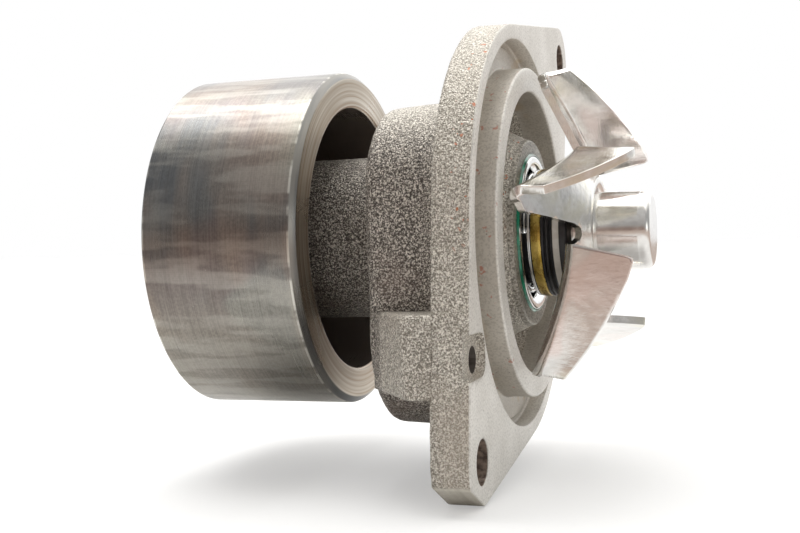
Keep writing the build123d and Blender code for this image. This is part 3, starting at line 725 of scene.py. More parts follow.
# ---- impeller ------------------------------------------------------------------------
VANES = 5
FIRST_VANE = math.radians(37.2)
SHEET = 1.6
DISH_SLOPE = 0.47
DISH_TIP_RADIUS = 32.4
DISH_TIP_X = 4.0
CROWN_X = 16.0
COLLAR_REAR = 11.4
FOLD_DISTANCE = 18.7
FOLD_START = 2.0
FOLD_END = 27.3
BEND = 2.1
NOTCH_CENTER = 14.8
NOTCH_RADIUS = 1.5
HUB_RING = 12.2


def dish_x(radius):
    """Rear surface of the coned sheet."""
    return DISH_TIP_X + DISH_SLOPE * (DISH_TIP_RADIUS - radius)


def fold_path(s, steps=8):
    """Rear surface round the fold at a place s along it, as (distance out, x)."""
    start_out = FOLD_DISTANCE - BEND
    for _ in range(4):
        fall = DISH_SLOPE * start_out / math.hypot(start_out, s)
        start_out = FOLD_DISTANCE - BEND - BEND * fall / math.hypot(1, fall)
    begin = math.pi / 2 + math.atan(fall)
    center_x = dish_x(math.hypot(start_out, s)) + BEND * math.sin(begin)
    path = []
    for k in range(steps + 1):
        turn = -begin * (1 - k / steps)
        path.append((FOLD_DISTANCE - BEND + BEND * math.cos(turn), center_x + BEND * math.sin(turn)))
    return path


def blade_top():
    """Free edge of a blade as (s, x), from its inner root corner round to its tip."""
    corner = round_corners([(2.9, 12.0, 0), (4.85, 24.8, 1.0), (13.0, 21.4, 0)], False, 8)[:-1]
    control = [
        corner[-1], (9.0, 23.35), (13.5, 21.15), (18.0, 18.65), (22.3, 15.75), (25.5, 13.2), (28.1, 10.9),
    ]
    curve = np.array(corner[1:] + control[1:], float)
    length = np.concatenate([[0], np.cumsum(np.linalg.norm(np.diff(curve, axis=0), axis=1))])
    return curve, length / length[-1]


def vane_frame(vane):
    """Unit vectors (outward, along) of a vane in the YZ plane."""
    angle = FIRST_VANE + 2 * math.pi / VANES * vane
    return np.array((math.cos(angle), math.sin(angle))), np.array((-math.sin(angle), math.cos(angle)))


def build_impeller(steel):
    """Sheet-metal star: its rear surface is meshed, then given the sheet's thickness."""
    columns = 34
    s_values = np.linspace(FOLD_START, FOLD_END, columns)
    top_curve, top_share = blade_top()
    points, faces = [], []
    outline = []  # indices of the points of the flat star's boundary, in order
    fold_steps = 8
    height_steps = 16

    def place(vane, n, s, x):
        outward, along = vane_frame(vane)
        y, z = n * outward + s * along
        points.append((x, y, z))
        return len(points) - 1

    for vane in range(VANES):
        # notch between the last arm and this one
        notch = []
        for angle in np.radians(np.linspace(-100, -262, 12)):
            n = NOTCH_CENTER + NOTCH_RADIUS * math.cos(angle)
            s = NOTCH_RADIUS * math.sin(angle)
            notch.append(place(vane, n, s, dish_x(math.hypot(n, s))))
        outline += notch
        # fold and blade
        grid = []
        for column, s in enumerate(s_values):
            path = fold_path(s, fold_steps)
            share = column / (columns - 1)
            top_s = np.interp(share, top_share, top_curve[:, 0])
            top_x = np.interp(share, top_share, top_curve[:, 1])
            column_ids = [place(vane, n, s, x) for n, x in path]
            base_x = path[-1][1]
            for k in range(1, height_steps + 1):
                t = k / height_steps
                bow = 0.10 * math.sin(math.pi * t)
                x = base_x + (top_x - base_x) * t
                column_ids.append(place(vane, FOLD_DISTANCE - bow, s + (top_s - s) * t, x))
            grid.append(column_ids)
        for left, right in zip(grid, grid[1:]):
            for k in range(fold_steps + height_steps):
                faces.append((left[k], right[k], right[k + 1], left[k + 1]))
        outline += [column_ids[0] for column_ids in grid]
        # tip and trailing edge of the arm
        tip = [(15.6, 26.9, 0), (15.2, 26.7, 0.3), (13.3, 26.3, 0.4), (9.8, 19.8, 0), (6.6, 14.2, 0)]
        trailing = round_corners(tip, False, 4)
        edge = [trailing[1]]
        for point in trailing[2:]:
            count = max(1, round(np.linalg.norm(point - edge[-1]) / 1.1))
            edge += [edge[-1] + (point - edge[-1]) * (k + 1) / count for k in range(count)]
        outline += [place(vane, n, s, dish_x(math.hypot(n, s))) for n, s in edge]

    # hub ring inside the star, then the crown and the collar
    hub_count = 90
    crown = [
        (dish_x(HUB_RING), HUB_RING),
        (dish_x(11.6) - 0.02, 11.6),
        (dish_x(11.2) - 0.06, 11.2),
        (CROWN_X - SHEET - 0.25, 10.75),
        (CROWN_X - SHEET - 0.06, 10.4),
        (CROWN_X - SHEET - 0.12, 10.05),
        (CROWN_X - SHEET - 0.35, 9.75),
        (CROWN_X - SHEET - 0.75, SHAFT_RADIUS + SHEET + 0.02),
        (CROWN_X - SHEET - 1.6, SHAFT_RADIUS + SHEET),
        (COLLAR_REAR, SHAFT_RADIUS + SHEET),
    ]
    ring_ids = []
    for x, radius in crown:
        ring = []
        for j in range(hub_count):
            angle = 2 * math.pi * j / hub_count
            points.append((x, radius * math.cos(angle), radius * math.sin(angle)))
            ring.append(len(points) - 1)
        ring_ids.append(ring)
    for outer, inner in zip(ring_ids, ring_ids[1:]):
        for j in range(hub_count):
            k = (j + 1) % hub_count
            faces.append((outer[j], outer[k], inner[k], inner[j]))

    # flat star between its outline and the hub ring
    star = np.array([points[i][1:] for i in outline])
    flat = [Vector(p) for p in star] + [Vector(points[i][1:]) for i in ring_ids[0]]
    ids = outline + ring_ids[0]
    star_count = len(outline)
    edges = [(i, (i + 1) % star_count) for i in range(star_count)]
    edges += [(star_count + j, star_count + (j + 1) % hub_count) for j in range(hub_count)]
    spacing = 1.25
    for row in range(-32, 33):
        for column in range(-32, 33):
            spot = np.array(((column + 0.5 * (row % 2)) * spacing, row * spacing * 0.866))
            radius = np.linalg.norm(spot)
            if radius < HUB_RING + 0.6 or not inside_outline(spot, star):
                continue
            if np.linalg.norm(star - spot, axis=1).min() < 0.65:
                continue
            points.append((dish_x(radius), *spot))
            ids.append(len(points) - 1)
            flat.append(Vector(spot))
    made = geometry.delaunay_2d_cdt(flat, edges, [], 0, 1e-5)
    for triangle in made[2]:
        middle = sum((np.array(made[0][v]) for v in triangle), np.zeros(2)) / 3
        outside_hub = np.linalg.norm(middle) > HUB_RING * math.cos(math.pi / hub_count)
        if outside_hub and inside_outline(middle, star):
            faces.append(tuple(ids[made[3][v][0]] for v in triangle))

    piece = make_object("impeller_stamping", points, faces, [steel])
    mesh = bmesh.new()
    mesh.from_mesh(piece.data)
    bmesh.ops.remove_doubles(mesh, verts=mesh.verts, dist=0.005 * MM)
    bmesh.ops.recalc_face_normals(mesh, faces=mesh.faces)
    crown_face = min(mesh.faces, key=lambda f: abs(f.calc_center_median().yz.length - 14.5 * MM))
    if crown_face.normal.x > 0:
        bmesh.ops.reverse_faces(mesh, faces=mesh.faces)
    mesh.to_mesh(piece.data)
    mesh.free()
    thick = piece.modifiers.new("sheet", "SOLIDIFY")
    thick.thickness = SHEET * MM
    thick.offset = -1
    thick.use_even_offset = True
    soft = piece.modifiers.new("cut_edges", "BEVEL")
    soft.width = 0.16 * MM
    soft.segments = 2
    soft.limit_method = "ANGLE"
    soft.angle_limit = math.radians(55)
    add_weighted_normals(piece)
    return finish_piece(piece, "rotor", ["impeller"])


def inside_outline(spot, outline):
    """Whether a point of the plane lies inside a closed outline."""
    y, z = spot
    ahead = np.roll(outline, -1, 0)
    crosses = (outline[:, 1] > z) != (ahead[:, 1] > z)
    rise = np.where(crosses, ahead[:, 1] - outline[:, 1], 1.0)
    at = outline[:, 0] + (z - outline[:, 1]) / rise * (ahead[:, 0] - outline[:, 0])
    return bool(np.count_nonzero(crosses & (y < at)) % 2)


# ---- turned and moulded pieces ----------------------------------------------------------
BALL_RADIUS = 2.75
TRACK_RADIUS = 2.78
BALL_PITCH_RADIUS = 10.14
CARBON_RADIUS = 12.3
BELLOWS_LIP = 12.95


def turned_piece(name, corners, material, body, node, slot, **options):
    """A turned piece in place of one CAD node."""
    return finish_piece(lathe(name, corners, material, **options), body, [node])


def build_pulley(steel):
    front, rear = PULLEY_HIGH.x, PULLEY_LOW.x
    bore, hub, web = 28.4, 13.5, -62.5
    turned_piece("pulley_shell", [
        (rear, SHAFT_RADIUS + 0.3, 0.2),
        (rear, hub, 0.6),
        (web - 5.1, hub + 1.6, 1.2),
        (web - 5.1, 29.5, 1.2),
        (rear, 30.5, 0.6),
        (rear, PULLEY_RADIUS - 0.5, 0.2),
        (rear + 0.5, PULLEY_RADIUS, 0.25),
        (front - 1.3, PULLEY_RADIUS, 0.3),
        (front, PULLEY_RADIUS - 1.3, 0.25),
        (front, bore + 0.4, 0.25),
        (front - 0.4, bore, 0.25),
        (web - 2.0, bore, 2.2),
        (web - 2.0, hub + 0.3, 1.5),
        (web + 1.2, hub, 0.6),
        (web + 1.2, SHAFT_RADIUS + 0.3, 0.2),
        (web + 0.9, SHAFT_RADIUS, 0.1),
        (rear + 0.3, SHAFT_RADIUS, 0.1),
    ], steel, "rotor", "belt_pulley", "pulley_steel", around=512)


def build_shaft(steel):
    front, rear = SHAFT_HIGH.x, SHAFT_LOW.x
    track_x = limits("ball_1")[0].x + BALL_RADIUS
    track = [
        (track_x + TRACK_RADIUS * math.sin(a), BALL_PITCH_RADIUS - TRACK_RADIUS * math.cos(a), 0)
        for a in np.linspace(-0.66, 0.66, 13)
    ]
    turned_piece("shaft_bar", [
        (rear, 0, 0),
        (rear, SHAFT_RADIUS - 0.45, 0.15),
        (rear + 0.45, SHAFT_RADIUS, 0.2),
        *[p for p in track if p[1] < SHAFT_RADIUS],
        (front - 2.3, SHAFT_RADIUS, 0.2),
        (front - 2.2, SHAFT_RADIUS - 0.05, 0.1),
        (front - 0.9, SHAFT_RADIUS - 0.12, 0.9),
        (front, SHAFT_RADIUS - 0.9, 0.7),
        (front, 0, 0),
    ], steel, "rotor", "shaft", "ground_steel", closed=False, steps=6)


def build_seal(cup_steel, sealant, rubber, brass, carbon, ceramic):
    front = CUP_HIGH.x
    wall = 0.7
    bore = SEAL_BORE - wall
    outer = CUP_HIGH.z
    turned_piece("seal_cup_shell", [
        (CUP_LOW.x, 8.8, 0.2), (CUP_LOW.x, SEAL_BORE, 1.2), (front - wall, SEAL_BORE, 0.15),
        (front - wall, outer, 0.1), (front - 0.25, outer, 0.2), (front, outer - 0.35, 0.25),
        (front - 0.05, bore + 1.0, 0.7), (front - 1.2, bore, 0.9), (CUP_LOW.x + wall, bore, 0.6),
        (CUP_LOW.x + wall, 8.8, 0.2),
    ], cup_steel, "housing", "seal_cup", "cup_steel", around=256, steps=5)

    def squeeze(_, radius, angle):
        if radius < outer + 0.05:
            return 0.0
        swing = noise.noise(Vector((3 * math.cos(angle), 3 * math.sin(angle), 0.7)))
        return min(0.0, 0.10 * swing - 0.05)

    bead_high = limits("sealant_bead")[1]
    turned_piece("sealant_ring", [
        (BOSS_FACE, outer, 0), (front - 0.16, outer, 0.05), (front - 0.15, outer + 0.30, 0.25),
        (BOSS_FACE + 0.1, bead_high.z, 0.2), (BOSS_FACE, bead_high.z, 0.05),
    ], sealant, "housing", "sealant_bead", "green_sealant", around=256, wobble=squeeze)

    inner, lip = BELLOWS_HIGH.z - 4.05, BELLOWS_LIP
    rear = BELLOWS_LOW.x
    band_rear, band_front = BAND_LOW.x, BAND_HIGH.x
    carbon_rear = CARBON_LOW.x
    bellows = lathe("bellows_skin", [
        (rear, inner, 0.2), (rear, bore, 0.3), (rear + 1.6, bore, 0.3), (rear + 1.6, inner + 1.2, 0.4),
        (-1.6, inner + 1.2, 0.5), (-0.6, inner + 1.9, 0.6), (0.4, inner + 1.2, 0.5),
        (carbon_rear - 1.1, inner + 1.2, 0.3), (carbon_rear - 1.1, lip, 0.1), (band_front + 0.05, lip, 0),
        (band_front + 0.08, lip + 0.3, 0.12), (band_front + 0.5, lip + 0.3, 0.15),
        (band_front + 0.72, lip - 0.15, 0.15), (band_front + 0.95, lip + 0.25, 0.15),
        (band_front + 1.35, lip + 0.25, 0.12), (band_front + 1.55, lip - 0.25, 0.1),
        (band_front + 1.55, CARBON_RADIUS, 0.1), (carbon_rear, CARBON_RADIUS, 0),
        (carbon_rear, inner, 0.2),
    ], rubber, around=224)
    bellows.parent = None
    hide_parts("seal_bellows")
    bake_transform(bellows)

    turned_piece("brass_band", [
        (band_rear, lip, 0), (band_front, lip, 0), (band_front, BAND_HIGH.z - 0.05, 0.12),
        (band_front - 0.5, BAND_HIGH.z, 0.2), (band_rear + 0.5, BAND_HIGH.z, 0.2),
        (band_rear, BAND_HIGH.z - 0.05, 0.12),
    ], brass, "carbon_head", "drive_band", "brass", around=224)

    face_x = CARBON_HIGH.x
    turned_piece("carbon_nose", [
        (carbon_rear, SHAFT_RADIUS + 1, 0.15), (carbon_rear, CARBON_RADIUS, 0),
        (7.5, CARBON_RADIUS, 0.1), (7.6, 11.9, 0.1), (face_x, 11.7, 0.08),
        (face_x, SHAFT_RADIUS + 1.6, 0.08), (7.5, SHAFT_RADIUS + 1, 0.15),
    ], carbon, "carbon_head", "carbon_ring", "carbon", around=192)

    for node, body in (("spring_washer_rear", "housing"), ("spring_washer_front", "carbon_head")):
        low, high = limits(node)
        turned_piece(node + "_disc", [
            (low.x, inner + 1.25, 0.1), (low.x, high.z, 0.15),
            (high.x, high.z, 0.15), (high.x, inner + 1.25, 0.1),
        ], cup_steel, body, node, "cup_steel", around=128)
    build_spring(cup_steel)

    seat_in = SHAFT_RADIUS + 0.6
    edge = CERAMIC_HIGH.z
    turned_piece("ceramic_disc", [
        (CERAMIC_LOW.x, seat_in, 0.1), (CERAMIC_LOW.x, edge - 0.05, 0.2), (CERAMIC_HIGH.x, edge, 0.1),
        (CERAMIC_HIGH.x, seat_in, 0.1),
    ], ceramic, "rotor", "ceramic_seat", "ceramic", around=224)
    turned_piece("seat_boot_ring", [
        (CERAMIC_LOW.x + 0.4, SHAFT_RADIUS, 0), (CERAMIC_LOW.x + 0.4, seat_in, 0),
        (CERAMIC_HIGH.x, seat_in, 0), (CERAMIC_HIGH.x, edge, 0), (CERAMIC_HIGH.x - 0.2, edge, 0.05),
        (CERAMIC_HIGH.x - 0.2, BOOT_HIGH.z, 0.15), (BOOT_HIGH.x - 0.2, BOOT_HIGH.z, 0.3),
        (BOOT_HIGH.x, edge - 0.3, 0.3), (BOOT_HIGH.x, SHAFT_RADIUS, 0.1),
    ], rubber, "rotor", "seat_boot", "black_rubber", around=224)
    low, high = limits("slinger")
    turned_piece("slinger_disc", [
        (low.x, SHAFT_RADIUS, 0), (low.x, SHAFT_RADIUS + 1.2, 0.2),
        (low.x + 1.0, SHAFT_RADIUS + 1.2, 0.4),
        (low.x + 1.8, high.z, 0.2), (low.x + 2.6, high.z, 0.2), (low.x + 2.2, SHAFT_RADIUS + 1.0, 0.5),
        (high.x, SHAFT_RADIUS + 1.0, 0.2), (high.x, SHAFT_RADIUS, 0),
    ], rubber, "rotor", "slinger", "black_rubber", around=128)


def build_spring(steel):
    """Round wire coil between the two washers."""
    low, high = limits("seal_spring")
    wire = 0.65
    radius = high.z - wire
    start, end = low.x + wire, high.x - wire
    turns, per_turn, around = 3.5, 64, 12
    count = int(turns * per_turn)
    points, faces = [], []
    for k in range(count + 1):
        t = k / count
        angle = 2 * math.pi * turns * t
        center = np.array((start + (end - start) * t, radius * math.cos(angle), radius * math.sin(angle)))
        out = np.array((0, math.cos(angle), math.sin(angle)))
        for j in range(around):
            turn = 2 * math.pi * j / around
            points.append(center + wire * (math.cos(turn) * out + math.sin(turn) * np.array((1, 0, 0))))
    for k in range(count):
        for j in range(around):
            n = (j + 1) % around
            here, there = k * around, (k + 1) * around
            faces.append((here + j, here + n, there + n, there + j))
    faces.append(tuple(range(around)))
    faces.append(tuple(reversed(range(count * around, (count + 1) * around))))
    spring = make_object("spring_coil", points, faces, [steel])
    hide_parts("seal_spring")
    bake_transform(spring)
    return spring


def build_bearing(steel, rubber):
    """Outer ring, lip seals, balls and rollers of the shaft bearing."""
    race, rear, front = 12.32, RING_LOW.x, RING_HIGH.x
    track_x = limits("ball_1")[0].x + BALL_RADIUS
    track = [
        (track_x + TRACK_RADIUS * math.sin(a), BALL_PITCH_RADIUS + TRACK_RADIUS * math.cos(a), 0)
        for a in np.linspace(-0.62, 0.62, 11)
    ]
    ring = lathe("bearing_ring", [
        (rear, race, 0.2), (rear, BEARING_RADIUS - 0.5, 0.1), (rear + 0.5, BEARING_RADIUS, 0.1),
        (front - 0.5, BEARING_RADIUS, 0.1), (front, BEARING_RADIUS - 0.5, 0.1), (front, race, 0.2),
        *reversed([p for p in track if p[1] > race]),
    ], steel, around=160)
    finish_piece(ring, "housing", ["bearing_outer_ring"])
    for node in ("bearing_seal_rear", "bearing_seal_front"):
        low, high = limits(node)
        middle = (low.x + high.x) / 2
        lip = SHAFT_RADIUS + 0.04
        turned_piece(node + "_ring", [
            (low.x, race, 0), (high.x, race, 0), (high.x, race - 1.0, 0.2),
            (middle + 0.4, race - 1.2, 0.2),
            (middle + 0.4, lip + 0.9, 0.2), (middle + 0.8, lip, 0.1), (middle - 0.8, lip, 0.1),
            (middle - 0.4, lip + 0.9, 0.2), (middle - 0.4, race - 1.2, 0.2), (low.x, race - 1.0, 0.2),
        ], rubber, "housing", node, "black_rubber", around=128)
    for body, prefix in (("ball_set", "ball_"), ("roller_set", "roller_")):
        for node in sorted(frame["nodes"]):
            if not node.startswith(prefix) or node.endswith("cage"):
                continue
            low, high = limits(node)
            center = (low + high) / 2
            radius = (high.z - low.z) / 2
            if body == "ball_set":
                arc_points = [
                    (center.x - radius * math.cos(a), radius * math.sin(a), 0)
                    for a in np.linspace(0, math.pi, 25)
                ]
                arc_points[0] = (arc_points[0][0], 0, 0)
                arc_points[-1] = (arc_points[-1][0], 0, 0)
                piece = lathe(node + "_sphere", arc_points, steel, 40, closed=False, center=center.yz)
            else:
                piece = lathe(node + "_pin", [
                    (low.x, 0, 0), (low.x, radius - 0.25, 0.1), (low.x + 0.25, radius, 0.1),
                    (high.x - 0.25, radius, 0.1), (high.x, radius - 0.25, 0.1), (high.x, 0, 0),
                ], steel, 40, closed=False, center=center.yz)
            finish_piece(piece, body, [node])


# ---- materials -------------------------------------------------------------------------
def near_axis(n, center, radius):
    """1 within a radius of an axis along X, 0 outside; the place and the radius are in millimetres."""
    _, y, z = n.axes()
    from_y = n.math("SUBTRACT", y, float(center[0]) * MM)
    from_z = n.math("SUBTRACT", z, float(center[1]) * MM)
    return n.ramp(n.length(from_y, from_z), (radius + 0.04) * MM, radius * MM)


def cast_iron():
    """Sand-cast grey iron: coarse grain, darker in hollows, with bright specks that are painted glints; the
    upper part is painted paler as painted top light.
    """
    n = Nodes("cast_iron")
    x, y, z = n.axes()
    grain = n.noise(3300, 2.0, 0.55)
    coarse = n.noise(1800, 2.0, 0.5)
    points = n.cells(2700)
    broad = n.noise(45, 3.0, 0.55)
    pale_zone = n.math("MAXIMUM", n.ramp(x, -0.0125, -0.0045), n.ramp(y, -0.0340, -0.0360, 0.0, 0.8))
    tone = n.plus(n.times(grain, 0.70), n.times(coarse, 0.30))
    # the grain's colour runs up to near white at its peaks: these bright specks are painted glints
    base = n.colors(tone, [
        (0.40, (0.052, 0.045, 0.039)), (0.50, (0.190, 0.170, 0.148)), (0.60, (0.72, 0.67, 0.60)),
    ])
    pale_and_top_light = n.colors(tone, [
        (0.40, (0.225, 0.203, 0.168)), (0.50, (0.47, 0.435, 0.375)), (0.60, (0.86, 0.82, 0.75)),
    ])
    # painted top light: from 15 to 26 mm up the colour turns up to 75 % towards the pale one, as if lit
    # from above; the pale zone near the flange and on the near side is a paler tone of the iron
    color = n.mix(n.math("MAXIMUM", pale_zone, n.ramp(z, 0.015, 0.026, 0.0, 0.75)), base, pale_and_top_light)
    warm = n.times(n.ramp(broad, 0.46, 0.64), n.ramp(z, 0.020, -0.010))
    color = n.over(color, warm, 0.40, n.mix(pale_zone, (0.21, 0.150, 0.125), (0.47, 0.40, 0.33)))
    rust_zone = n.times(n.ramp(x, -0.0046, -0.0030), n.ramp(z, -0.006, 0.004))
    rust = n.times(n.ramp(n.noise(820, 1.0), 0.665, 0.71), rust_zone)
    color = n.over(color, rust, 0.75, (0.52, 0.15, 0.05))
    along_flat = n.plus(n.times(y, float(EAR_FLAT_NORMAL[0])), n.times(z, float(EAR_FLAT_NORMAL[1])))
    ragged = n.plus(along_flat, n.times(n.noise(300, 2.0), 0.0007))
    tip = n.ramp(ragged, (EAR_FLAT - 0.10) * MM, (EAR_FLAT + 0.25) * MM)
    ground = n.times(tip, n.ramp(x, (0.4 - FLANGE_THICKNESS) * MM, (0.9 - FLANGE_THICKNESS) * MM))
    cutter = n.noise(1.0, 3.0, 0.6, n.vector(n.times(x, 500), n.times(z, 90), 0.0))
    ground_color = n.colors(cutter, [(0.35, (0.58, 0.545, 0.475)), (0.65, (0.72, 0.685, 0.61))])
    color = n.mix(ground, color, ground_color)
    height = n.plus(grain, n.plus(n.times(coarse, 0.9), n.times(points, -0.8)))
    height = n.times(height, n.ramp(ground, 0, 1, 1.0, 0.12))
    bump = n.bump(height, 0.00019, 0.85)
    rough = n.ramp(coarse, 0.35, 0.65, 0.40, 0.62)
    return n.finish(color, 0.45, rough, bump)


def machined_iron():
    """Faced grey iron: fine turning marks round the shaft and small pits."""
    n = Nodes("machined_iron")
    x = n.axes()[0]
    radius = n.radius()
    turning = n.noise(1.0, 2.0, 0.6, n.vector(n.times(x, 5200), n.times(radius, 5200), 0.0))
    cloud = n.noise(70, 4.0, 0.6)
    grain = n.noise(2100, 2.0, 0.6)
    pits = n.ramp(n.cells(420), 0.10, 0.02)
    deep = n.ramp(x, -0.0005, -0.0035)
    face = n.colors(cloud, [(0.3, (0.67, 0.645, 0.595)), (0.7, (0.85, 0.83, 0.785))])
    wall = n.colors(cloud, [(0.3, (0.48, 0.445, 0.39)), (0.7, (0.68, 0.645, 0.585))])
    spigot = n.times(n.ramp(radius, 0.0346, 0.0342), n.ramp(x, 0.00225, 0.0019))
    color = n.mix(n.math("MAXIMUM", deep, spigot), face, wall)
    color = n.mix(n.times(n.ramp(grain, 0.52, 0.40), 0.28), color, (0.20, 0.175, 0.15))
    boss = n.ramp(radius, 0.0205, 0.0195)
    boss_grain = n.colors(grain, [(0.38, (0.16, 0.145, 0.12)), (0.62, (0.52, 0.485, 0.42))])
    color = n.mix(boss, color, boss_grain)
    stain = n.times(n.ramp(n.noise(120, 2.0, 0.6), 0.58, 0.68), deep)
    color = n.over(color, stain, 0.45, (0.46, 0.33, 0.17))
    color = n.over(color, pits, 0.6, (0.16, 0.13, 0.11))
    rust_zone = n.times(n.ramp(radius, 0.0330, 0.0338), n.ramp(radius, 0.0350, 0.0344))
    rust = n.times(n.ramp(n.noise(560, 2.0, 0.6), 0.66, 0.71), rust_zone)
    color = n.over(color, rust, 0.6, (0.45, 0.10, 0.04))
    lower_hole, upper_hole = (near_axis(n, ear, BOLT_HOLE_RADIUS) for ear in (LOWER_EAR, UPPER_EAR))
    holes = n.math("MAXIMUM", lower_hole, upper_hole)
    bored = n.times(holes, n.ramp(x, -0.00005, -0.0003))
    # painted shade: the drain hole's inside is painted nearly black
    color = n.mix(near_axis(n, DRAIN_CENTER.yz, DRAIN_RADIUS), color, (0.075, 0.060, 0.050))
    # inside the bolt holes the colour turns a darker brown: partly stain and partly painted shade
    stain_and_shade = n.colors(n.noise(900, 3.0, 0.6), [(0.35, (0.10, 0.072, 0.058)), (0.65, (0.33, 0.255, 0.205))])
    color = n.mix(bored, color, stain_and_shade)
    height = n.plus(n.times(turning, 0.10), n.times(n.noise(900, 2.0), 0.35))
    height = n.plus(height, n.times(n.times(grain, boss), 1.2))
    bump = n.bump(n.plus(height, n.times(pits, -1.2)), 0.00010, 0.8)
    rough = n.ramp(turning, 0.3, 0.7, 0.36, 0.52)
    return n.finish(color, 0.25, rough, bump)


def pulley_steel():
    """Turned, brushed steel with a heat-tinted, handled skin and worn edges; the lower half has a painted
    reflection, the cup's inside painted shade, and the edge line a painted highlight as well as wear.
    """
    n = Nodes("pulley_steel")
    x, y, z = n.axes()
    radius = n.radius()
    brush = n.noise(1.0, 3.0, 0.65, n.around(5200, 2.0))
    streak = n.noise(1.0, 2.0, 0.5, n.around(640, 1.3))
    patch = n.noise(42, 2.0, 0.4, distortion=0.25)
    band = n.noise(1.0, 2.0, 0.4, n.scaled(95, 36, 36))
    grain = n.noise(1700, 2.0, 0.6)
    color = n.colors(patch, [
        (0.30, (0.140, 0.150, 0.162)), (0.42, (0.175, 0.178, 0.180)), (0.49, (0.208, 0.180, 0.174)),
        (0.56, (0.220, 0.192, 0.176)), (0.62, (0.235, 0.228, 0.200)), (0.72, (0.310, 0.285, 0.240)),
    ])
    color = n.mix(n.times(n.ramp(band, 0.52, 0.64), 0.45), color, (0.330, 0.262, 0.215))
    color = n.mix(n.times(n.ramp(band, 0.47, 0.36), 0.40), color, (0.150, 0.162, 0.172))
    # painted reflection: the lower half is painted a lighter olive, standing in for the floor's reflection
    lower_painted_reflection = n.ramp(n.plus(z, n.times(n.math("SUBTRACT", patch, 0.5), 0.050)), -0.006, -0.020)
    color = n.over(color, lower_painted_reflection, 0.52, (0.375, 0.352, 0.292))
    color = n.mix(n.ramp(streak, 0.35, 0.65, 0.0, 0.13), color, (0.42, 0.39, 0.34))
    fine = n.plus(n.times(brush, 0.6), n.times(grain, 0.4))
    color = n.mix(n.ramp(fine, 0.40, 0.60, 0.34, 0.0), color, (0.06, 0.055, 0.05))
    rim = n.times(n.ramp(radius, 0.0349, 0.0345), n.ramp(radius, 0.0280, 0.0284))
    ring = n.noise(1.0, 2.0, 0.6, n.vector(n.times(radius, 1500), n.times(y, 25), n.times(z, 25)))
    face = n.colors(ring, [
        (0.32, (0.37, 0.285, 0.205)), (0.50, (0.47, 0.41, 0.335)), (0.68, (0.60, 0.55, 0.48)),
    ])
    color = n.mix(rim, color, face)
    # painted shade: the inside of the pulley's cup is painted dark and made less metallic
    shaded_cavity = n.times(n.ramp(radius, 0.0286, 0.0283), n.ramp(x, -0.0655, -0.0650))
    color = n.over(color, shaded_cavity, 0.85, (0.125, 0.102, 0.104))
    web = n.ramp(x, -0.0668, -0.0674)
    turned = n.noise(1.0, 3.0, 0.6, n.vector(n.times(radius, 2600), n.times(y, 45), n.times(z, 45)))
    web_color = n.colors(turned, [
        (0.35, (0.16, 0.150, 0.140)), (0.50, (0.27, 0.255, 0.235)), (0.65, (0.42, 0.40, 0.37)),
    ])
    color = n.mix(n.times(web, n.ramp(radius, 0.0302, 0.0296)), color, web_color)
    chamfer = n.times(n.ramp(radius, 0.0346, 0.0349), n.ramp(radius, 0.03599, 0.03585))
    chamfer_color = n.colors(streak, [(0.4, (0.17, 0.175, 0.18)), (0.6, (0.30, 0.29, 0.27))])
    color = n.over(color, chamfer, 0.85, chamfer_color)
    # the bright broken line along the chamfer's outer edge is partly edge wear and partly a painted
    # highlight
    wear_and_highlight = n.times(n.ramp(radius, 0.03575, 0.03590), n.ramp(radius, 0.036005, 0.03598))
    wear_and_highlight = n.times(wear_and_highlight, n.ramp(n.noise(1.0, 2.0, 0.6, n.around(40, 9.0)), 0.45, 0.60))
    color = n.over(color, wear_and_highlight, 0.8, (0.70, 0.68, 0.62))
    specks = n.ramp(n.cells(330), 0.06, 0.03)
    color = n.over(color, specks, 0.4, (0.45, 0.43, 0.40))
    height = n.plus(n.times(brush, 0.45), n.times(streak, 0.06))
    height = n.plus(height, n.times(turned, n.times(web, 0.6)))
    bump = n.bump(height, 0.00008, 0.55)
    rough = n.plus(n.ramp(patch, 0.35, 0.65, 0.22, 0.32), n.times(brush, 0.08))
    metallic = n.ramp(shaded_cavity, 0, 1, 0.95, 0.5)
    return n.finish(color, metallic, rough, bump)


def bright_steel(name, low, high, rough, scratch, tinted=0.0):
    """Polished sheet or bar with fine scratches, brighter along its edges."""
    n = Nodes(name)
    x, y, z = n.axes()
    lines = n.noise(1.0, 2.0, 0.7, n.sheared(n.times(x, 3600), n.times(y, 200), n.times(z, 200)))
    marks = n.noise(1.0, 2.0, 0.6, n.scaled(520, 900, 900))
    smear = n.noise(95, 3.0, 0.6, distortion=0.6)
    tone = n.plus(n.times(smear, 0.7), n.times(marks, 0.3))
    color = n.colors(tone, [(0.36, low), (0.60, high)])
    tint = n.noise(48, 3.0, 0.55, distortion=0.8)
    color = n.mix(n.times(n.ramp(tint, 0.50, 0.66), tinted), color, (0.78, 0.74, 0.58))
    color = n.mix(n.times(n.ramp(tint, 0.48, 0.34), tinted), color, (0.80, 0.66, 0.62))
    worn = n.edges(0.00035)
    color = n.over(color, worn, 0.7, (0.92, 0.91, 0.89))
    height = n.plus(n.times(lines, 0.5), n.times(marks, 0.5))
    bump = n.bump(n.plus(height, n.times(smear, 1.5)), 0.00010, scratch)
    return n.finish(color, 1.0, n.ramp(smear, 0.3, 0.7, *rough), bump)


def rubber():
    n = Nodes("black_rubber")
    dust = n.noise(420, 3.0, 0.6)
    color = n.colors(dust, [(0.35, (0.010, 0.010, 0.012)), (0.70, (0.035, 0.033, 0.034))])
    bump = n.bump(n.noise(1800, 2.0), 0.00004, 0.6)
    return n.finish(color, 0.0, n.ramp(dust, 0.3, 0.7, 0.28, 0.46), bump)


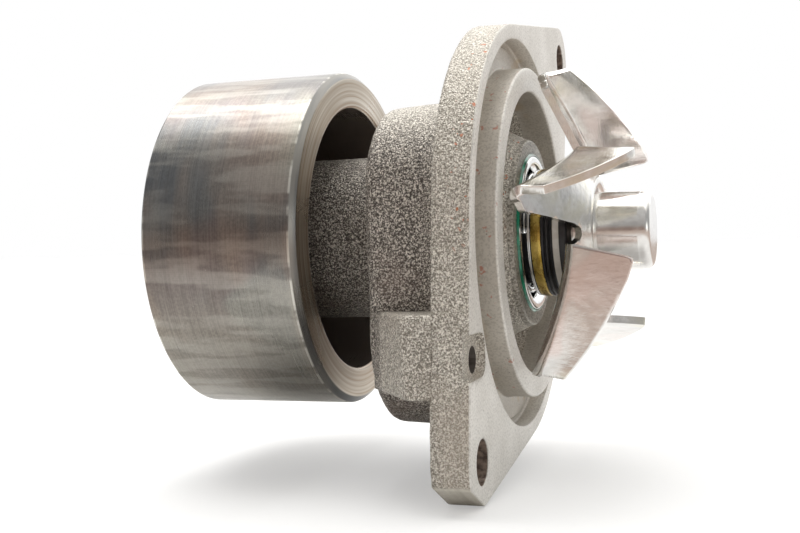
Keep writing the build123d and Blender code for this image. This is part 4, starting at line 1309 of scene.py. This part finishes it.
def brass():
    n = Nodes("brass")
    streak = n.noise(1.0, 3.0, 0.6, n.around(3000, 3.0))
    cloud = n.noise(300, 3.0, 0.6)
    color = n.colors(cloud, [(0.35, (0.28, 0.18, 0.03)), (0.65, (0.66, 0.48, 0.14))])
    return n.finish(color, 1.0, n.ramp(cloud, 0.3, 0.7, 0.18, 0.34), n.bump(streak, 0.00006, 0.5))


def green_sealant():
    n = Nodes("green_sealant")
    cloud = n.noise(500, 2.0, 0.6)
    color = n.colors(cloud, [(0.3, (0.005, 0.11, 0.06)), (0.7, (0.02, 0.30, 0.17))])
    return n.finish(color, 0.0, 0.22, n.bump(cloud, 0.00015, 0.6), Coat_Weight=0.5)


def carbon():
    n = Nodes("carbon")
    grain = n.noise(2200, 3.0, 0.6)
    color = n.colors(grain, [(0.3, (0.020, 0.020, 0.022)), (0.7, (0.060, 0.060, 0.064))])
    return n.finish(color, 0.1, n.ramp(grain, 0.3, 0.7, 0.30, 0.5), n.bump(grain, 0.00003, 0.5))


def ceramic():
    n = Nodes("ceramic")
    cloud = n.noise(240, 3.0, 0.6)
    color = n.colors(cloud, [(0.3, (0.70, 0.66, 0.59)), (0.7, (0.86, 0.84, 0.79))])
    bump = n.bump(n.noise(1600, 2.0), 0.00003, 0.5)
    return n.finish(color, 0.0, n.ramp(cloud, 0.3, 0.7, 0.18, 0.34), bump)


def cage_plastic():
    n = Nodes("cage_plastic")
    fibre = n.noise(1.0, 3.0, 0.6, n.around(2600, 40.0))
    color = n.colors(fibre, [(0.3, (0.40, 0.33, 0.22)), (0.7, (0.62, 0.55, 0.42))])
    return n.finish(color, 0.0, n.ramp(fibre, 0.3, 0.7, 0.40, 0.58), n.bump(fibre, 0.00005, 0.5))


# ---- the pump ----------------------------------------------------------------------------
bearing_steel = bright_steel("bearing_steel", (0.62, 0.62, 0.63), (0.80, 0.80, 0.81), (0.08, 0.16), 0.12)
cup_steel = bright_steel("cup_steel", (0.66, 0.66, 0.66), (0.84, 0.84, 0.84), (0.06, 0.14), 0.12)
ground_steel = bright_steel("ground_steel", (0.64, 0.62, 0.60), (0.84, 0.83, 0.81), (0.10, 0.20), 0.25)
sheet_steel = bright_steel("sheet_steel", (0.66, 0.65, 0.63), (0.90, 0.89, 0.87), (0.10, 0.22), 0.4, 0.55)
black_rubber = rubber()

build_housing(cast_iron(), machined_iron())
build_pulley(pulley_steel())
build_shaft(ground_steel)
build_impeller(sheet_steel)
build_seal(cup_steel, green_sealant(), black_rubber, brass(), carbon(), ceramic())
build_bearing(bearing_steel, black_rubber)
cage = cage_plastic()
for node in ("ball_cage", "roller_cage"):
    mesh = frame["nodes"][node].data
    mesh.materials.clear()
    mesh.materials.append(cage)

# ---- studio ------------------------------------------------------------------------------
CAMERA_AT = Vector((0.0521, -0.2356, 0.0))
CAMERA_YAW = math.radians(18.75)
CAMERA_PITCH = math.radians(-1.49)
CAMERA_ROLL = math.radians(-1.685)
LENS_MM = 51.37
FLOOR_BOUNCE = 0.80
FAR_FLOOR = (0.47, 0.38, 0.335)


def add_camera():
    data = bpy.data.cameras.new("camera")
    data.lens = LENS_MM
    data.sensor_width = 36.0
    data.clip_start = 0.01
    camera = bpy.data.objects.new("camera", data)
    bpy.context.scene.collection.objects.link(camera)
    turn = Matrix.Rotation(CAMERA_YAW, 4, "Z") @ Matrix.Rotation(math.pi / 2 + CAMERA_PITCH, 4, "X")
    camera.matrix_world = Matrix.Translation(CAMERA_AT) @ turn @ Matrix.Rotation(CAMERA_ROLL, 4, "Z")
    bpy.context.scene.camera = camera


def add_light(name, at, size, power, target):
    data = bpy.data.lights.new(name, "AREA")
    data.shape = "RECTANGLE"
    data.size, data.size_y = size
    data.energy = power
    lamp = bpy.data.objects.new(name, data)
    lamp.location = at
    lamp.rotation_euler = (Vector(target) - Vector(at)).to_track_quat("-Z", "Y").to_euler()
    bpy.context.scene.collection.objects.link(lamp)


def add_floor():
    """A pale plane far wider than the pump; it bounces less light than the camera sees on it."""
    low = CAD_BOX[0][2]
    size, cuts = 4.0, 24
    step = 2 * size / cuts
    points = [
        ((-size + i * step) / MM, (-size + j * step) / MM, low / MM - 0.3)
        for i in range(cuts + 1) for j in range(cuts + 1)
    ]
    row = cuts + 1
    faces = [
        (i * row + j, (i + 1) * row + j, (i + 1) * row + j + 1, i * row + j + 1)
        for i in range(cuts) for j in range(cuts)
    ]
    n = Nodes("floor_paper")
    grain = n.noise(900, 2.0)
    seen = n.colors(grain, [(0.3, (0.62, 0.62, 0.62)), (0.7, (0.65, 0.65, 0.65))])
    glow = n.times(n.camera_ray(), 0.35)
    x, y, _ = n.axes()
    away = n.length(x, y)
    bounce = n.mix(n.ramp(away, 0.12, 0.30), (FLOOR_BOUNCE,) * 3, FAR_FLOOR)
    color = n.mix(n.camera_ray(), bounce, seen)
    n.finish(color, 0.0, 0.9, Emission_Color=(1, 1, 1, 1), Emission_Strength=glow)
    make_object("floor", points, faces, [n.material])


def light_world():
    """A room that is bright above and dim in front; the camera itself sees plain white."""
    world = bpy.data.worlds.new("studio")
    bpy.context.scene.world = world
    n = Nodes("studio", world)
    x, y, z = n.axes()
    turn = n.math("DIVIDE", n.math("ARCTAN2", z, n.times(y, -1.0)), 2 * math.pi)
    room = n.colors(n.plus(turn, 0.5), [
        (0.00, (0.50, 0.50, 0.50)), (0.10, (0.30, 0.30, 0.30)), (0.43, (0.25, 0.225, 0.205)),
        (0.465, (0.17, 0.135, 0.12)), (0.495, (0.135, 0.092, 0.076)), (0.515, (0.15, 0.112, 0.096)),
        (0.54, (0.20, 0.195, 0.19)),
        (0.62, (0.28, 0.275, 0.27)), (0.69, (0.27, 0.265, 0.26)), (0.72, (0.85, 0.83, 0.78)),
        (0.82, (0.82, 0.81, 0.79)), (0.92, (0.85, 0.85, 0.84)), (1.00, (0.50, 0.50, 0.50)),
    ])
    room = n.mix(n.ramp(x, 0.55, 0.85), room, (0.20, 0.20, 0.20))
    lamp = n.math("SUBTRACT", n.times(x, 0.95), n.times(y, 0.31))
    room = n.mix(n.ramp(lamp, 0.955, 0.985), room, (0.85, 0.85, 0.82))
    room = n.mix(n.ramp(x, -0.55, -0.85), room, (0.25, 0.25, 0.25))
    n.link(n.mix(n.camera_ray(), room, (0.5, 0.5, 0.5)), n.surface.inputs["Color"])
    n.surface.inputs["Strength"].default_value = 2.0


add_camera()
add_floor()
light_world()
add_light("key", (-0.25, 0.13, 0.60), (0.60, 0.43), 2.4, (-0.25, 0.13, 0))
bpy.context.scene.view_settings.view_transform = "Standard"
